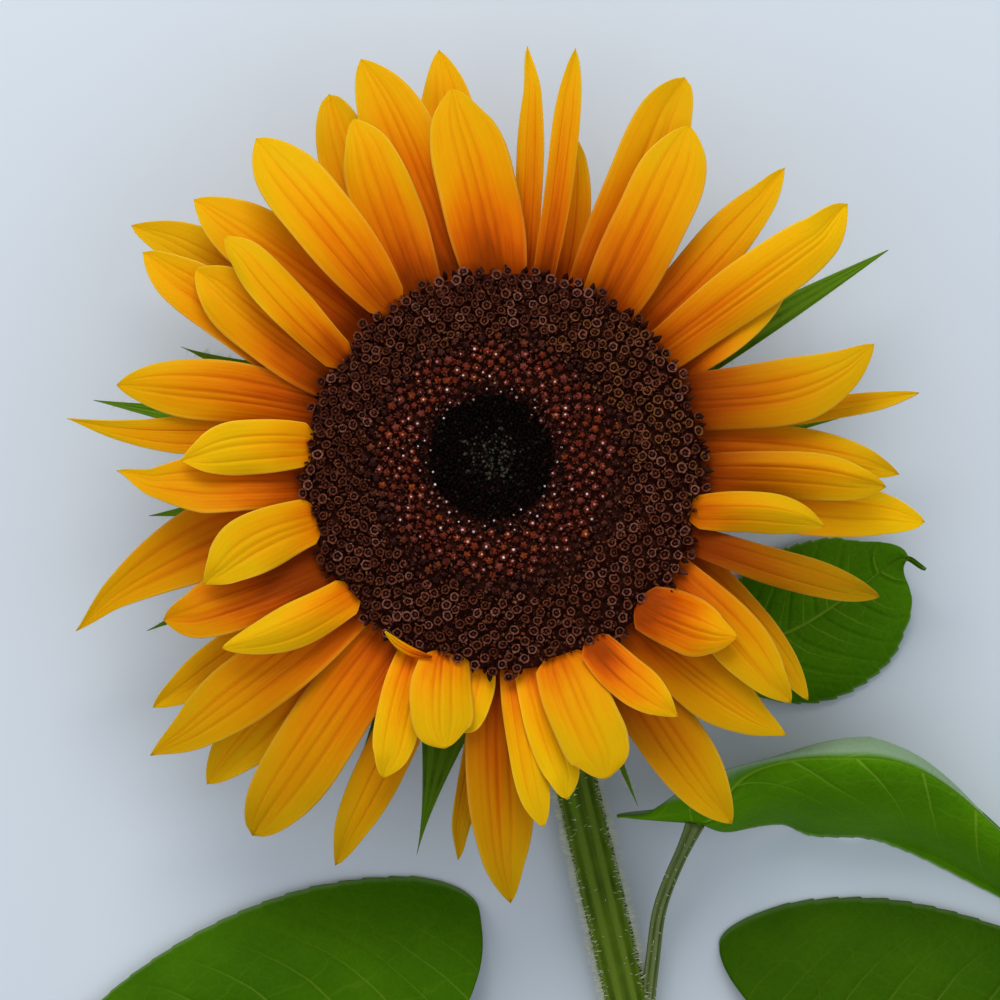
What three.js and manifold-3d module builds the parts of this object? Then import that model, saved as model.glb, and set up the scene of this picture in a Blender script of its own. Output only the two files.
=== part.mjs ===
// A cut sunflower: one open flower head on its bent neck, a length of stem and four leaves.
// It lies on its back: the head faces up (+Z) and the stem runs along the surface towards -Y.
import * as THREE from "three";
import { mergeVertices } from "three/addons/utils/BufferGeometryUtils.js";
import Module from "manifold-3d";

// Sizes in millimetres, angles in degrees. A clock angle runs clockwise from +Y, seen from above.

// Heights above the surface that the flower lies on
const HEAD_TOP = 50;
const NECK_TOP = 26;
const GAP = 0.3;

// Disc of small florets in the middle of the head
const DISC_RADIUS = 44.1;
const DISC_DEPTH = 12;
const DISC_HEART = { x: -2.2, y: 3.7 };

// Ray florets, called petals: blades in five layers round the disc, 0 in front and 4 at the back
const PETAL_THICKNESS = 0.9;
const FRONT_LAYER_HEIGHT = 48.4;
const LAYER_STEP = 1.9;
const PETAL_PEAK = 0.55;
const PETAL_FOOT = 0.5;
const PETAL_TIP = 0.1;
const PETAL_CUP = 1.1;
const LAYERS = [
  { rise: 0.45, droop: 0.0075 },
  { rise: 0.25, droop: 0.0045 },
  { rise: 0.1, droop: 0.003 },
  { rise: -0.02, droop: 0.002 },
  { rise: -0.12, droop: 0.0015 },
];

// Each petal, clockwise: clock angle of its foot and of its tip, how far the tip reaches from
// the middle of the disc, its greatest width, and its layer.
const PETALS = [
  { foot: 6, tip: 3.3, reach: 94.6, width: 5.3, layer: 3 },
  { foot: 13.7, tip: 9.7, reach: 94.8, width: 7.9, layer: 1 },
  { foot: 18, tip: 11.5, reach: 77.4, width: 11, layer: 3 },
  { foot: 25.8, tip: 24.2, reach: 95.3, width: 16.5, layer: 2 },
  { foot: 31.9, tip: 27.7, reach: 86.7, width: 16.5, layer: 1 },
  { foot: 44.2, tip: 42.8, reach: 91.7, width: 10.6, layer: 2 },
  { foot: 52, tip: 50.8, reach: 96.4, width: 13.6, layer: 1 },
  { foot: 60, tip: 53.9, reach: 88, width: 13.2, layer: 2 },
  { foot: 70, tip: 70.7, reach: 86.7, width: 14.3, layer: 1 },
  { foot: 78, tip: 79.2, reach: 92.4, width: 5.3, layer: 3 },
  { foot: 82, tip: 89.5, reach: 87.6, width: 11, layer: 2 },
  { foot: 90, tip: 90.8, reach: 84.5, width: 9.9, layer: 1 },
  { foot: 97, tip: 96.3, reach: 93.1, width: 10.6, layer: 3 },
  { foot: 102.3, tip: 99.6, reach: 71.7, width: 8.8, layer: 0 },
  { foot: 110.7, tip: 108.6, reach: 87.6, width: 9.5, layer: 1 },
  { foot: 117, tip: 126.8, reach: 84.3, width: 8.8, layer: 3 },
  { foot: 121, tip: 128.7, reach: 81.4, width: 12.1, layer: 1 },
  { foot: 134, tip: 126, reach: 62.7, width: 11.4, layer: 0 },
  { foot: 141, tip: 133.4, reach: 85.4, width: 14.3, layer: 2 },
  { foot: 152, tip: 147, reach: 93.1, width: 16.5, layer: 3 },
  { foot: 153, tip: 144.4, reach: 66, width: 8.4, layer: 0 },
  { foot: 163, tip: 161.2, reach: 71.1, width: 15.4, layer: 0 },
  { foot: 172, tip: 168.9, reach: 73.5, width: 8.8, layer: 1 },
  { foot: 177, tip: 173.5, reach: 78.8, width: 7.7, layer: 2 },
  { foot: 181.6, tip: 179, reach: 95.6, width: 14.7, layer: 3 },
  { foot: 184, tip: 186.6, reach: 86.7, width: 5.7, layer: 4 },
  { foot: 187, tip: 190, reach: 59.4, width: 8.8, layer: 1 },
  { foot: 197, tip: 191.3, reach: 62, width: 12.3, layer: 0 },
  { foot: 201, tip: 203.1, reach: 94.9, width: 11, layer: 3 },
  { foot: 206, tip: 201.4, reach: 72.4, width: 8.4, layer: 1 },
  { foot: 214.9, tip: 214.6, reach: 97.7, width: 16.5, layer: 2 },
  { foot: 224.8, tip: 223.5, reach: 94.8, width: 14.3, layer: 3 },
  { foot: 230, tip: 231.2, reach: 99.2, width: 13.6, layer: 2 },
  { foot: 231, tip: 237.3, reach: 72.8, width: 9.2, layer: 0 },
  { foot: 237, tip: 236.1, reach: 92.8, width: 9.9, layer: 4 },
  { foot: 242, tip: 246.5, reach: 81.6, width: 13.2, layer: 1 },
  { foot: 255, tip: 249, reach: 70.4, width: 12.1, layer: 0 },
  { foot: 259, tip: 249.5, reach: 100.5, width: 13.6, layer: 3 },
  { foot: 267, tip: 271.7, reach: 85.1, width: 13.2, layer: 1 },
  { foot: 278, tip: 272, reach: 70.8, width: 12.1, layer: 0 },
  { foot: 282, tip: 277, reach: 97, width: 10.1, layer: 2 },
  { foot: 287, tip: 282.3, reach: 87.3, width: 11.9, layer: 1 },
  { foot: 293, tip: 301.1, reach: 93.3, width: 16.5, layer: 2 },
  { foot: 297.4, tip: 302.2, reach: 81.2, width: 15, layer: 1 },
  { foot: 305, tip: 310.3, reach: 79.9, width: 9.9, layer: 0 },
  { foot: 308, tip: 303.3, reach: 99.3, width: 9.9, layer: 4 },
  { foot: 318, tip: 311.4, reach: 91.1, width: 17.2, layer: 2 },
  { foot: 326, tip: 323.5, reach: 91.3, width: 16.7, layer: 0 },
  { foot: 331, tip: 335.6, reach: 91.1, width: 12.1, layer: 3 },
  { foot: 335, tip: 337.1, reach: 84.5, width: 14.3, layer: 1 },
  { foot: 346, tip: 341, reach: 96.6, width: 16.5, layer: 2 },
  { foot: 350, tip: 351.4, reach: 94.7, width: 14.3, layer: 3 },
  { foot: 358, tip: 351.7, reach: 87.1, width: 19.4, layer: 1 },
];

// Receptacle: the green back of the head, with its ring of bracts
const RECEPTACLE_RADIUS = 44;
const NECK_FLARE_RADIUS = 6.6;
const BRACT_ROOT = 38;
const BRACT_THICKNESS = 1.1;
const BRACT_HEIGHT = 34.6;

// Bracts that stick out between the petals: clock angle, reach from the middle, width at the root
const LONG_BRACTS = [
  { clock: 60, reach: 99.4, width: 15 },
  { clock: 80, reach: 85.4, width: 9 },
  { clock: 158, reach: 79.6, width: 8 },
  { clock: 168, reach: 81.4, width: 8 },
  { clock: 192.7, reach: 83.6, width: 13 },
  { clock: 205.5, reach: 83.2, width: 9 },
  { clock: 246, reach: 86.9, width: 10 },
  { clock: 263, reach: 79.4, width: 9 },
  { clock: 280, reach: 92.8, width: 9 },
  { clock: 293, reach: 75.5, width: 9 },
];

// Bracts bent back under the head, which it rests on
const BENT_BRACTS = { clocks: [20, 46, 312, 340], width: 13, spread: 20, tipHeight: 0.7 };
const HIDDEN_BRACTS = { clocks: [100, 119, 138, 224, 326, 358], reach: 66, width: 12 };

// Stem: lies on the surface and bends up into the middle of the head
const STEM_LEAN = 13.8;
const STEM_LENGTH = 196;
const STEM_RADIUS = 4.7;
const NECK_RADIUS = 4.3;
const NECK_BEND = 20.5;
const STEM_SIDES = 16;

// Leaves: points are [x, y, z] along the petiole and then along the midrib. Each side has its
// greatest width, how far its edge hangs below the midrib, how far its lobe reaches back past the
// petiole, the share of the midrib over which it grows to its full width, and how broad it starts.
const PETIOLE_RADIUS = 1.5;
const LEAF_THICKNESS = 1.3;
const LEAF_TIP = 0.04;
const LEAVES = [
  {
    name: "leaf_upper_right",
    color: 0x3f7a12,
    petiole: [[11.5, -42.5, 5.2], [28, -43.5, 9.5], [42, -42.5, 9.5], [53, -40.5, 8.5]],
    midrib: [[52, -41, 8.5], [68, -35.5, 9.5], [84, -28.5, 9], [98.5, -21, 14]],
    left: { width: 15.5, drop: 7, lobe: 6, grow: 0.3, start: 0.2 },
    right: { width: 16.5, drop: 8, lobe: 6, grow: 0.3, start: 0.2 },
  },
  {
    name: "leaf_right",
    color: 0x356d0e,
    petiole: [[31.8, -127, 4.9], [36, -110, 6.5], [38, -97.6, 10], [44.6, -79.6, 17.5]],
    midrib: [[43.5, -80, 17], [51, -78, 20], [66, -70, 26], [91, -66.8, 30], [111, -80, 20], [142, -107, 5]],
    left: { width: 5.2, drop: 27, lobe: 16, grow: 0.25, start: 0.2 },
    right: { width: 21, drop: 27, lobe: 0, grow: 0.55, start: 0.02 },
  },
  {
    name: "leaf_lower_right",
    color: 0x2f650c,
    petiole: [[39, -155.5, 4.9], [47, -149, 6.5], [56, -140, 7.5], [63, -132.5, 7.5]],
    midrib: [[62, -133.5, 7.5], [90, -130.5, 9.5], [122, -131, 8], [156, -136, 4]],
    left: { width: 31.5, drop: 8.5, lobe: 10, grow: 0.22, start: 0.5 },
    right: { width: 29, drop: 8.5, lobe: 9, grow: 0.24, start: 0.4 },
  },
  {
    name: "leaf_lower_left",
    color: 0x2f650c,
    petiole: [[34, -143.5, 4.9], [18, -139, 7.5], [4, -131.5, 8.5], [-11, -124.5, 8]],
    midrib: [[-10, -125, 8], [-42, -125.5, 10], [-77, -133, 8], [-112, -147, 4]],
    left: { width: 28, drop: 8.5, lobe: 9, grow: 0.26, start: 0.4 },
    right: { width: 31.5, drop: 8.5, lobe: 7, grow: 0.22, start: 0.5 },
  },
];

const wasm = await Module();
wasm.setup();

const turn = THREE.MathUtils.degToRad;

// Point at a clock angle, distance from the middle and height
function polar(clock, distance, height) {
  return new THREE.Vector3(distance * Math.sin(turn(clock)), distance * Math.cos(turn(clock)), height);
}

function closedGeometry(points, triangles) {
  const geometry = new THREE.BufferGeometry();
  geometry.setAttribute("position", new THREE.Float32BufferAttribute(points.flatMap((p) => [p.x, p.y, p.z]), 3));
  geometry.setIndex(triangles);
  return geometry;
}

// Closed blade under a grid of points: rows run along it, columns from its left edge to its right
function blade(rows, thickness) {
  const last = rows.length - 1;
  const wide = rows[0].length;
  const under = rows.map((row, i) =>
    row.map((point, j) => {
      const along = rows[Math.min(i + 1, last)][j].clone().sub(rows[Math.max(i - 1, 0)][j]);
      const across = row[Math.min(j + 1, wide - 1)].clone().sub(row[Math.max(j - 1, 0)]);
      const down = along.cross(across).normalize();
      return point.clone().addScaledVector(down, thickness);
    }),
  );
  const points = [...rows.flat(), ...under.flat()];
  const size = rows.length * wide;
  const top = (i, j) => i * wide + j;
  const bottom = (i, j) => size + top(i, j);
  const triangles = [];
  const quad = (a, b, c, d) => triangles.push(a, b, c, a, c, d);
  for (let i = 0; i < last; i++) {
    for (let j = 0; j < wide - 1; j++) {
      quad(top(i, j), top(i, j + 1), top(i + 1, j + 1), top(i + 1, j));
      quad(bottom(i, j), bottom(i + 1, j), bottom(i + 1, j + 1), bottom(i, j + 1));
    }
    quad(top(i, 0), top(i + 1, 0), bottom(i + 1, 0), bottom(i, 0));
    quad(top(i, wide - 1), bottom(i, wide - 1), bottom(i + 1, wide - 1), top(i + 1, wide - 1));
  }
  for (let j = 0; j < wide - 1; j++) {
    quad(top(0, j), bottom(0, j), bottom(0, j + 1), top(0, j + 1));
    quad(top(last, j), top(last, j + 1), bottom(last, j + 1), bottom(last, j));
  }
  return closedGeometry(points, triangles);
}

// Closed round limb along a curve, whose radius follows a function of the way along it
function limb(curve, radiusAt, steps, sides) {
  const frames = curve.computeFrenetFrames(steps, false);
  const points = [];
  const triangles = [];
  for (let i = 0; i <= steps; i++) {
    const centre = curve.getPointAt(i / steps);
    for (let k = 0; k < sides; k++) {
      const angle = (2 * Math.PI * k) / sides;
      const arm = frames.normals[i].clone().multiplyScalar(Math.cos(angle));
      arm.addScaledVector(frames.binormals[i], Math.sin(angle));
      points.push(centre.clone().addScaledVector(arm, radiusAt(i / steps)));
    }
  }
  for (let i = 0; i < steps; i++) {
    for (let k = 0; k < sides; k++) {
      const a = i * sides + k;
      const b = i * sides + ((k + 1) % sides);
      triangles.push(a, b, b + sides, a, b + sides, a + sides);
    }
  }
  const start = points.length;
  points.push(curve.getPointAt(0), curve.getPointAt(1));
  for (let k = 0; k < sides; k++) {
    const next = (k + 1) % sides;
    triangles.push(start, next, k);
    triangles.push(start + 1, steps * sides + k, steps * sides + next);
  }
  return closedGeometry(points, triangles);
}

function toSolid(geometry) {
  const bare = geometry.clone();
  bare.deleteAttribute("normal");
  bare.deleteAttribute("uv");
  const merged = mergeVertices(bare, 1e-4);
  const vertProperties = new Float32Array(merged.getAttribute("position").array);
  const triVerts = new Uint32Array(merged.getIndex().array);
  return new wasm.Manifold(new wasm.Mesh({ numProp: 3, vertProperties, triVerts }));
}

// One solid of several, less what a cutter takes away
function fuse(geometries, cutter) {
  let whole = toSolid(geometries[0]);
  for (const geometry of geometries.slice(1)) {
    whole = whole.add(toSolid(geometry));
  }
  if (cutter) {
    whole = whole.subtract(toSolid(cutter));
  }
  const mesh = whole.getMesh();
  const geometry = new THREE.BufferGeometry();
  geometry.setAttribute("position", new THREE.BufferAttribute(new Float32Array(mesh.vertProperties), 3));
  geometry.setIndex(new THREE.BufferAttribute(new Uint32Array(mesh.triVerts), 1));
  return geometry;
}

function named(name, geometry, color, roughness) {
  const mesh = new THREE.Mesh(geometry, new THREE.MeshStandardMaterial({ color, roughness, metalness: 0 }));
  mesh.name = name;
  return mesh;
}

// Disc: a shallow dish whose heart lies a little up and left of its middle
function makeDisc() {
  const bottom = HEAD_TOP - DISC_DEPTH;
  const profile = [
    [0, bottom],
    [DISC_RADIUS, bottom],
    [DISC_RADIUS, HEAD_TOP - 1.2],
    [DISC_RADIUS - 2, HEAD_TOP - 0.2],
    [36, HEAD_TOP + 0.6],
    [27, HEAD_TOP + 0.9],
    [20, HEAD_TOP + 0.2],
    [13, HEAD_TOP - 1.2],
    [6, HEAD_TOP - 2.2],
    [0, HEAD_TOP - 2.4],
  ].map(([r, z]) => new THREE.Vector2(r, z));
  const geometry = new THREE.LatheGeometry(profile, 48);
  geometry.rotateX(Math.PI / 2);
  const position = geometry.getAttribute("position");
  for (let i = 0; i < position.count; i++) {
    const share = 1 - (Math.hypot(position.getX(i), position.getY(i)) / DISC_RADIUS) ** 2;
    position.setX(i, position.getX(i) + DISC_HEART.x * share);
    position.setY(i, position.getY(i) + DISC_HEART.y * share);
  }
  return named("disc", geometry, 0x2a1008, 0.8);
}

function petalWidthShare(u) {
  if (u < PETAL_PEAK) {
    return PETAL_FOOT + (1 - PETAL_FOOT) * Math.sin((Math.PI / 2) * (u / PETAL_PEAK));
  }
  return 1 - (1 - PETAL_TIP) * ((u - PETAL_PEAK) / (1 - PETAL_PEAK)) ** 2.4;
}

// A petal springs from the disc's side wall, follows its layer's surface and is slightly cupped
function makePetal(petal, number) {
  const rim = DISC_RADIUS + GAP;
  const layer = LAYERS[petal.layer];
  const centre = (u) =>
    polar(petal.foot + (petal.tip - petal.foot) * u, rim + (petal.reach - rim) * u, 0);
  const rows = [];
  const steps = 7;
  for (let i = 0; i <= steps; i++) {
    const u = i / steps;
    const middle = centre(u);
    const along = centre(u + 0.01).sub(centre(u - 0.01)).normalize();
    const half = (petal.width / 2) * petalWidthShare(u);
    const row = [];
    for (const v of [-1, -0.5, 0, 0.5, 1]) {
      const point = middle.clone().add(new THREE.Vector3(along.y, -along.x, 0).multiplyScalar(v * half));
      const nearest = Math.hypot(point.x, point.y);
      if (nearest < rim) {
        point.multiplyScalar(rim / nearest);
      }
      const out = Math.max(nearest, rim) - rim;
      point.z = FRONT_LAYER_HEIGHT - LAYER_STEP * petal.layer + layer.rise * out - layer.droop * out * out;
      point.z += PETAL_CUP * v * v * Math.min(1, out / 18) * (half / 8);
      row.push(point);
    }
    rows.push(row);
  }
  const name = `petal_${String(number).padStart(2, "0")}`;
  return named(name, blade(rows, PETAL_THICKNESS), 0xf2a900, 0.55);
}

function bractShare(u) {
  return (1 - 0.93 * u) ** 0.9 * (1 + 0.6 * u);
}

// A bract that leaves the rim nearly level and ends in a fine point
function makeLongBract(bract) {
  const rows = [];
  const steps = 6;
  for (let i = 0; i <= steps; i++) {
    const u = i / steps;
    const distance = BRACT_ROOT + (bract.reach - BRACT_ROOT) * u;
    const out = Math.max(0, distance - RECEPTACLE_RADIUS);
    const height = BRACT_HEIGHT - 0.16 * out - 0.0016 * out * out;
    const middle = polar(bract.clock, distance, height);
    const side = polar(bract.clock + 90, 1, 0);
    const half = (bract.width / 2) * bractShare(u);
    rows.push([-1, 0, 1].map((v) => middle.clone().addScaledVector(side, v * half)));
  }
  return blade(rows, BRACT_THICKNESS);
}

// A bract bent back from the rim, whose last third lies on the surface under the head
function makeBentBract(clock) {
  const start = new THREE.Vector3(0, BRACT_ROOT, BRACT_HEIGHT);
  const reach = RECEPTACLE_RADIUS + BENT_BRACTS.spread;
  const curve = new THREE.CubicBezierCurve3(
    start,
    new THREE.Vector3(0, RECEPTACLE_RADIUS + 12, BRACT_HEIGHT - 2),
    new THREE.Vector3(0, reach - 8, BRACT_THICKNESS + 6),
    new THREE.Vector3(0, reach, BENT_BRACTS.tipHeight),
  );
  const rows = [];
  const steps = 6;
  for (let i = 0; i <= steps; i++) {
    const at = curve.getPoint(i / steps);
    const middle = polar(clock, at.y, at.z);
    const side = polar(clock + 90, 1, 0);
    const half = (BENT_BRACTS.width / 2) * bractShare(i / steps);
    rows.push([-1, 0, 1].map((v) => middle.clone().addScaledVector(side, v * half)));
  }
  return blade(rows, BRACT_THICKNESS);
}

function makeReceptacle() {
  const top = HEAD_TOP - DISC_DEPTH - GAP;
  const profile = [
    [0, NECK_TOP + GAP],
    [NECK_FLARE_RADIUS, NECK_TOP + GAP],
    [10, NECK_TOP + 1.6],
    [20, 30],
    [34, 32.4],
    [42, 34],
    [RECEPTACLE_RADIUS, 35.5],
    [RECEPTACLE_RADIUS, top],
    [0, top],
  ].map(([r, z]) => new THREE.Vector2(r, z));
  const bowl = new THREE.LatheGeometry(profile, 40);
  bowl.rotateX(Math.PI / 2);
  const hidden = HIDDEN_BRACTS.clocks.map((clock) => ({ ...HIDDEN_BRACTS, clock }));
  const bracts = [...LONG_BRACTS, ...hidden].map(makeLongBract);
  const bent = BENT_BRACTS.clocks.map(makeBentBract);
  return named("receptacle", fuse([bowl, ...bracts, ...bent]), 0x4f7a20, 0.7);
}

// Unit vector along the lying stem, away from the head
const away = new THREE.Vector3(Math.sin(turn(STEM_LEAN)), -Math.cos(turn(STEM_LEAN)), 0);

// The stem's centreline: along the surface from the cut end, round the neck and up to the head
class StemLine extends THREE.Curve {
  getPoint(t, target = new THREE.Vector3()) {
    const straight = STEM_LENGTH - NECK_BEND;
    const bend = (Math.PI / 2) * NECK_BEND;
    const rise = NECK_TOP - NECK_BEND - STEM_RADIUS;
    const way = t * (straight + bend + rise);
    let distance = STEM_LENGTH - way;
    let height = STEM_RADIUS;
    if (way > straight + bend) {
      distance = 0;
      height = STEM_RADIUS + NECK_BEND + way - straight - bend;
    } else if (way > straight) {
      const angle = (way - straight) / NECK_BEND;
      distance = NECK_BEND * (1 - Math.sin(angle));
      height = STEM_RADIUS + NECK_BEND * (1 - Math.cos(angle));
    }
    return target.copy(away).multiplyScalar(distance).setZ(height);
  }
}

// The stem's body, narrower towards the neck and flared under the head; extra makes it thicker all round
function stemBody(extra) {
  const narrow = (t) => STEM_RADIUS + (NECK_RADIUS - STEM_RADIUS) * Math.min(1, t / 0.85);
  const flare = (t) => (NECK_FLARE_RADIUS - NECK_RADIUS) * Math.max(0, (t - 0.88) / 0.12) ** 1.5;
  return limb(new StemLine(), (t) => narrow(t) + flare(t) + extra, 26, STEM_SIDES);
}

function makeStem() {
  return named("stem", stemBody(0), 0x5f7f35, 0.7);
}

// Share of its full width that one side of a leaf has at the way u along the midrib
function leafShare(u, side) {
  const way = Math.min(1, (u / side.grow + side.start) / (1 + side.start));
  const grown = Math.sin((Math.PI / 2) * way) ** 0.7;
  const taper = 1 - (1 - LEAF_TIP) * Math.max(0, (u - side.grow) / (1 - side.grow)) ** 1.7;
  return grown * taper;
}

// A leaf hangs from its midrib to both sides, and its stalk is cut to fit against the stem
function makeLeaf(leaf) {
  const midrib = new THREE.CatmullRomCurve3(leaf.midrib.map((p) => new THREE.Vector3(...p)));
  const rows = [];
  const steps = 13;
  for (let i = 0; i <= steps; i++) {
    const u = (i / steps) ** 1.25;
    const middle = midrib.getPointAt(u);
    const along = midrib.getTangentAt(u).setZ(0).normalize();
    const across = new THREE.Vector3(along.y, -along.x, 0);
    const row = [];
    for (const v of [-1, -0.75, -0.5, -0.25, 0, 0.25, 0.5, 0.75, 1]) {
      const side = v < 0 ? leaf.left : leaf.right;
      const share = leafShare(u, side);
      const point = middle.clone().addScaledVector(across, v * side.width * share);
      const back = Math.sin(Math.PI * 0.72 * Math.abs(v)) * Math.max(0, 1 - u / side.grow) ** 1.5;
      point.addScaledVector(along, -side.lobe * back);
      point.z = Math.max(LEAF_THICKNESS + 0.1, middle.z - side.drop * share * Math.abs(v) ** 1.8);
      row.push(point);
    }
    rows.push(row);
  }
  const petiole = new THREE.CatmullRomCurve3(leaf.petiole.map((p) => new THREE.Vector3(...p)));
  const stalk = limb(petiole, () => PETIOLE_RADIUS, 9, 8);
  return named(leaf.name, fuse([blade(rows, LEAF_THICKNESS), stalk], stemBody(GAP)), leaf.color, 0.5);
}

const flower = new THREE.Group();
flower.name = "cut_sunflower";
PETALS.forEach((petal, index) => flower.add(makePetal(petal, index + 1)));
flower.add(makeDisc(), makeReceptacle(), makeStem());
LEAVES.forEach((leaf) => flower.add(makeLeaf(leaf)));

// The origin is at the bottom centre of the whole flower's bounding box
const box = new THREE.Box3().setFromObject(flower);
const centre = box.getCenter(new THREE.Vector3());
flower.position.set(-centre.x, -centre.y, -box.min.z);
flower.updateMatrixWorld(true);

export default flower;
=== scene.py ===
# A cut sunflower lying on its back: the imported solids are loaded, and each is dressed by a finer piece.
import math

import bpy
import numpy as np
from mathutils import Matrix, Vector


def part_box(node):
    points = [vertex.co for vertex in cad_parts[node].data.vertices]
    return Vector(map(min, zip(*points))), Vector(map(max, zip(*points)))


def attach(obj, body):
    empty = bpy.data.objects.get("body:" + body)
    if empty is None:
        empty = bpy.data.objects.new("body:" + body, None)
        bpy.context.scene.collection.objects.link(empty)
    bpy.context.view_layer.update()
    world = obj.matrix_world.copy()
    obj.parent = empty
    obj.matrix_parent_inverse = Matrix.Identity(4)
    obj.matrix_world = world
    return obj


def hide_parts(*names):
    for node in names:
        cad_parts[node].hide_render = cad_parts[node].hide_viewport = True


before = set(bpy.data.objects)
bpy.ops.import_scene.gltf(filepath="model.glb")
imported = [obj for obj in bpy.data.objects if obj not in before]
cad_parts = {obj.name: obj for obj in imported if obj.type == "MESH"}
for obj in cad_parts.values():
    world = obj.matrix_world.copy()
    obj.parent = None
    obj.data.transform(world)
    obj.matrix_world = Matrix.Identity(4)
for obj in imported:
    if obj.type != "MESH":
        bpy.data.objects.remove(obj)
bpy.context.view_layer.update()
millimetre = 0.001

# The flower is drawn in millimetres round the middle of its disc, with the surface it lies on at 0.
discLow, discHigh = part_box("disc")
headPlace = np.array([(discLow.x + discHigh.x) / 2, (discLow.y + discHigh.y) / 2, 0.0])
print("frame loaded, middle of the disc at", [round(float(c), 4) for c in headPlace])

head = {
    "top": 50.0,  # height of the disc's rim
    "discRadius": 44.1,
    "heart": (-2.8, 3.7),  # the disc's dark heart lies up and left of its middle
    "seed": 11,
}


# Helpers for any piece
def deselectAll():
    bpy.ops.object.select_all(action="DESELECT")


def makeActive(piece):
    deselectAll()
    piece.select_set(True)
    bpy.context.view_layer.objects.active = piece


def toFrame(points):
    return np.asarray(points, float) * millimetre + headPlace


def setPoints(piece, points):
    piece.data.vertices.foreach_set("co", toFrame(points).astype(np.float32).ravel())
    piece.data.update()


def getPoints(piece):
    points = np.empty(len(piece.data.vertices) * 3, np.float32)
    piece.data.vertices.foreach_get("co", points)
    return points.reshape(-1, 3).astype(float)


def gridPiece(name, columns, rows, shape):
    # A grid whose points are placed by shape(across -1 to 1, along 0 to 1), in flower millimetres
    deselectAll()
    bpy.ops.mesh.primitive_grid_add(x_subdivisions=columns, y_subdivisions=rows, size=2, location=(0, 0, 0))
    piece = bpy.context.object
    piece.name = piece.data.name = name
    flat = getPoints(piece)
    setPoints(piece, shape(flat[:, 0], flat[:, 1] / 2 + 0.5))
    return piece


def gridPlaces(columns, rows):
    # The across (-1 to 1) and along (0 to 1) values of a grid piece's points, which run row by row
    across = np.tile(np.linspace(-1, 1, columns + 1), rows + 1)
    along = np.repeat(np.linspace(0, 1, rows + 1), columns + 1)
    return across, along


def thicken(piece, thickness, offset=0):
    # Gives a blade its thickness in millimetres
    makeActive(piece)
    modifier = piece.modifiers.new("thickness", "SOLIDIFY")
    modifier.thickness = thickness * millimetre
    modifier.offset = offset
    bpy.ops.object.modifier_apply(modifier=modifier.name)


def closeEnds(piece):
    # A grid rolled into a tube, or an open bowl: its seam is merged and its open ends are filled
    makeActive(piece)
    bpy.ops.object.mode_set(mode="EDIT")
    bpy.ops.mesh.select_all(action="SELECT")
    bpy.ops.mesh.remove_doubles(threshold=0.01 * millimetre)
    bpy.ops.mesh.fill_holes(sides=0)
    bpy.ops.mesh.select_all(action="SELECT")
    bpy.ops.mesh.normals_make_consistent(inside=False)
    bpy.ops.object.mode_set(mode="OBJECT")


def addAttributes(piece, **values):
    # Values for each point, or one value for all of them, that a material reads by name
    for name, value in values.items():
        attribute = piece.data.attributes.new(name, "FLOAT", "POINT")
        spread = np.broadcast_to(np.asarray(value, np.float32), len(piece.data.vertices))
        attribute.data.foreach_set("value", np.ascontiguousarray(spread))


def finishPiece(piece, material, slotName, *nodes):
    makeActive(piece)
    bpy.ops.object.shade_smooth()
    if material is not None:
        piece.data.materials.clear()
        piece.data.materials.append(material)
    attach(piece, "root")
    if nodes:
        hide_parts(*nodes)
    deselectAll()


def turnedForm(name, profile, sides):
    # One round form: a circle extruded ring by ring up a profile of (radius, height), in millimetres
    deselectAll()
    bpy.ops.mesh.primitive_circle_add(vertices=sides, radius=profile[0][0] * millimetre, location=(0, 0, 0))
    form = bpy.context.object
    form.name = form.data.name = name
    bpy.ops.object.mode_set(mode="EDIT")
    bpy.ops.mesh.select_all(action="SELECT")
    for (radius, height), (nextRadius, nextHeight) in zip(profile, profile[1:]):
        rise = (0, 0, (nextHeight - height) * millimetre)
        bpy.ops.mesh.extrude_edges_move(TRANSFORM_OT_translate={"value": rise})
        grow = nextRadius / radius
        bpy.ops.transform.resize(value=(grow, grow, 1), center_override=(0, 0, 0))
    bpy.ops.mesh.edge_face_add()
    bpy.ops.mesh.select_all(action="SELECT")
    bpy.ops.mesh.normals_make_consistent(inside=False)
    bpy.ops.object.mode_set(mode="OBJECT")
    return form


def takeForm(form):
    # The points (in millimetres) and faces of a form, which is then removed
    points = getPoints(form) / millimetre
    faces = [tuple(face.vertices) for face in form.data.polygons]
    mesh = form.data
    bpy.data.objects.remove(form)
    bpy.data.meshes.remove(mesh)
    return points, faces


def joinedPiece(name, copies, faces):
    # One joined mesh of many copies of a form, given the points of each
    count = copies.shape[1]
    allFaces = [tuple(k * count + i for i in face) for k in range(len(copies)) for face in faces]
    mesh = bpy.data.meshes.new(name)
    mesh.from_pydata(toFrame(copies.reshape(-1, 3)).tolist(), [], allFaces)
    piece = bpy.data.objects.new(name, mesh)
    bpy.context.scene.collection.objects.link(piece)
    return piece


def arrayPiece(name, form, places, turns, sizes, ragged=0.0):
    # Copies of a form, each with its own place (mm), 3 x 3 turn and size; ragged moves single points
    points, faces = form
    copies = np.einsum("kij,nj->kni", turns * sizes[:, None, None], points) + places[:, None, :]
    return joinedPiece(name, copies + ragged, faces)


def unit(vectors):
    return vectors / np.linalg.norm(vectors, axis=1)[:, None]


def turnsTo(directions, spins):
    # Rotation matrices that carry +Z to each direction, spun about it first
    z = unit(directions)
    x = unit(np.cross(np.where(np.abs(z[:, :1]) < 0.9, [[1.0, 0, 0]], [[0, 1.0, 0]]), z))
    y = np.cross(z, x)
    cos, sin = np.cos(spins)[:, None], np.sin(spins)[:, None]
    return np.stack([x * cos + y * sin, y * cos - x * sin, z], axis=2)


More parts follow.
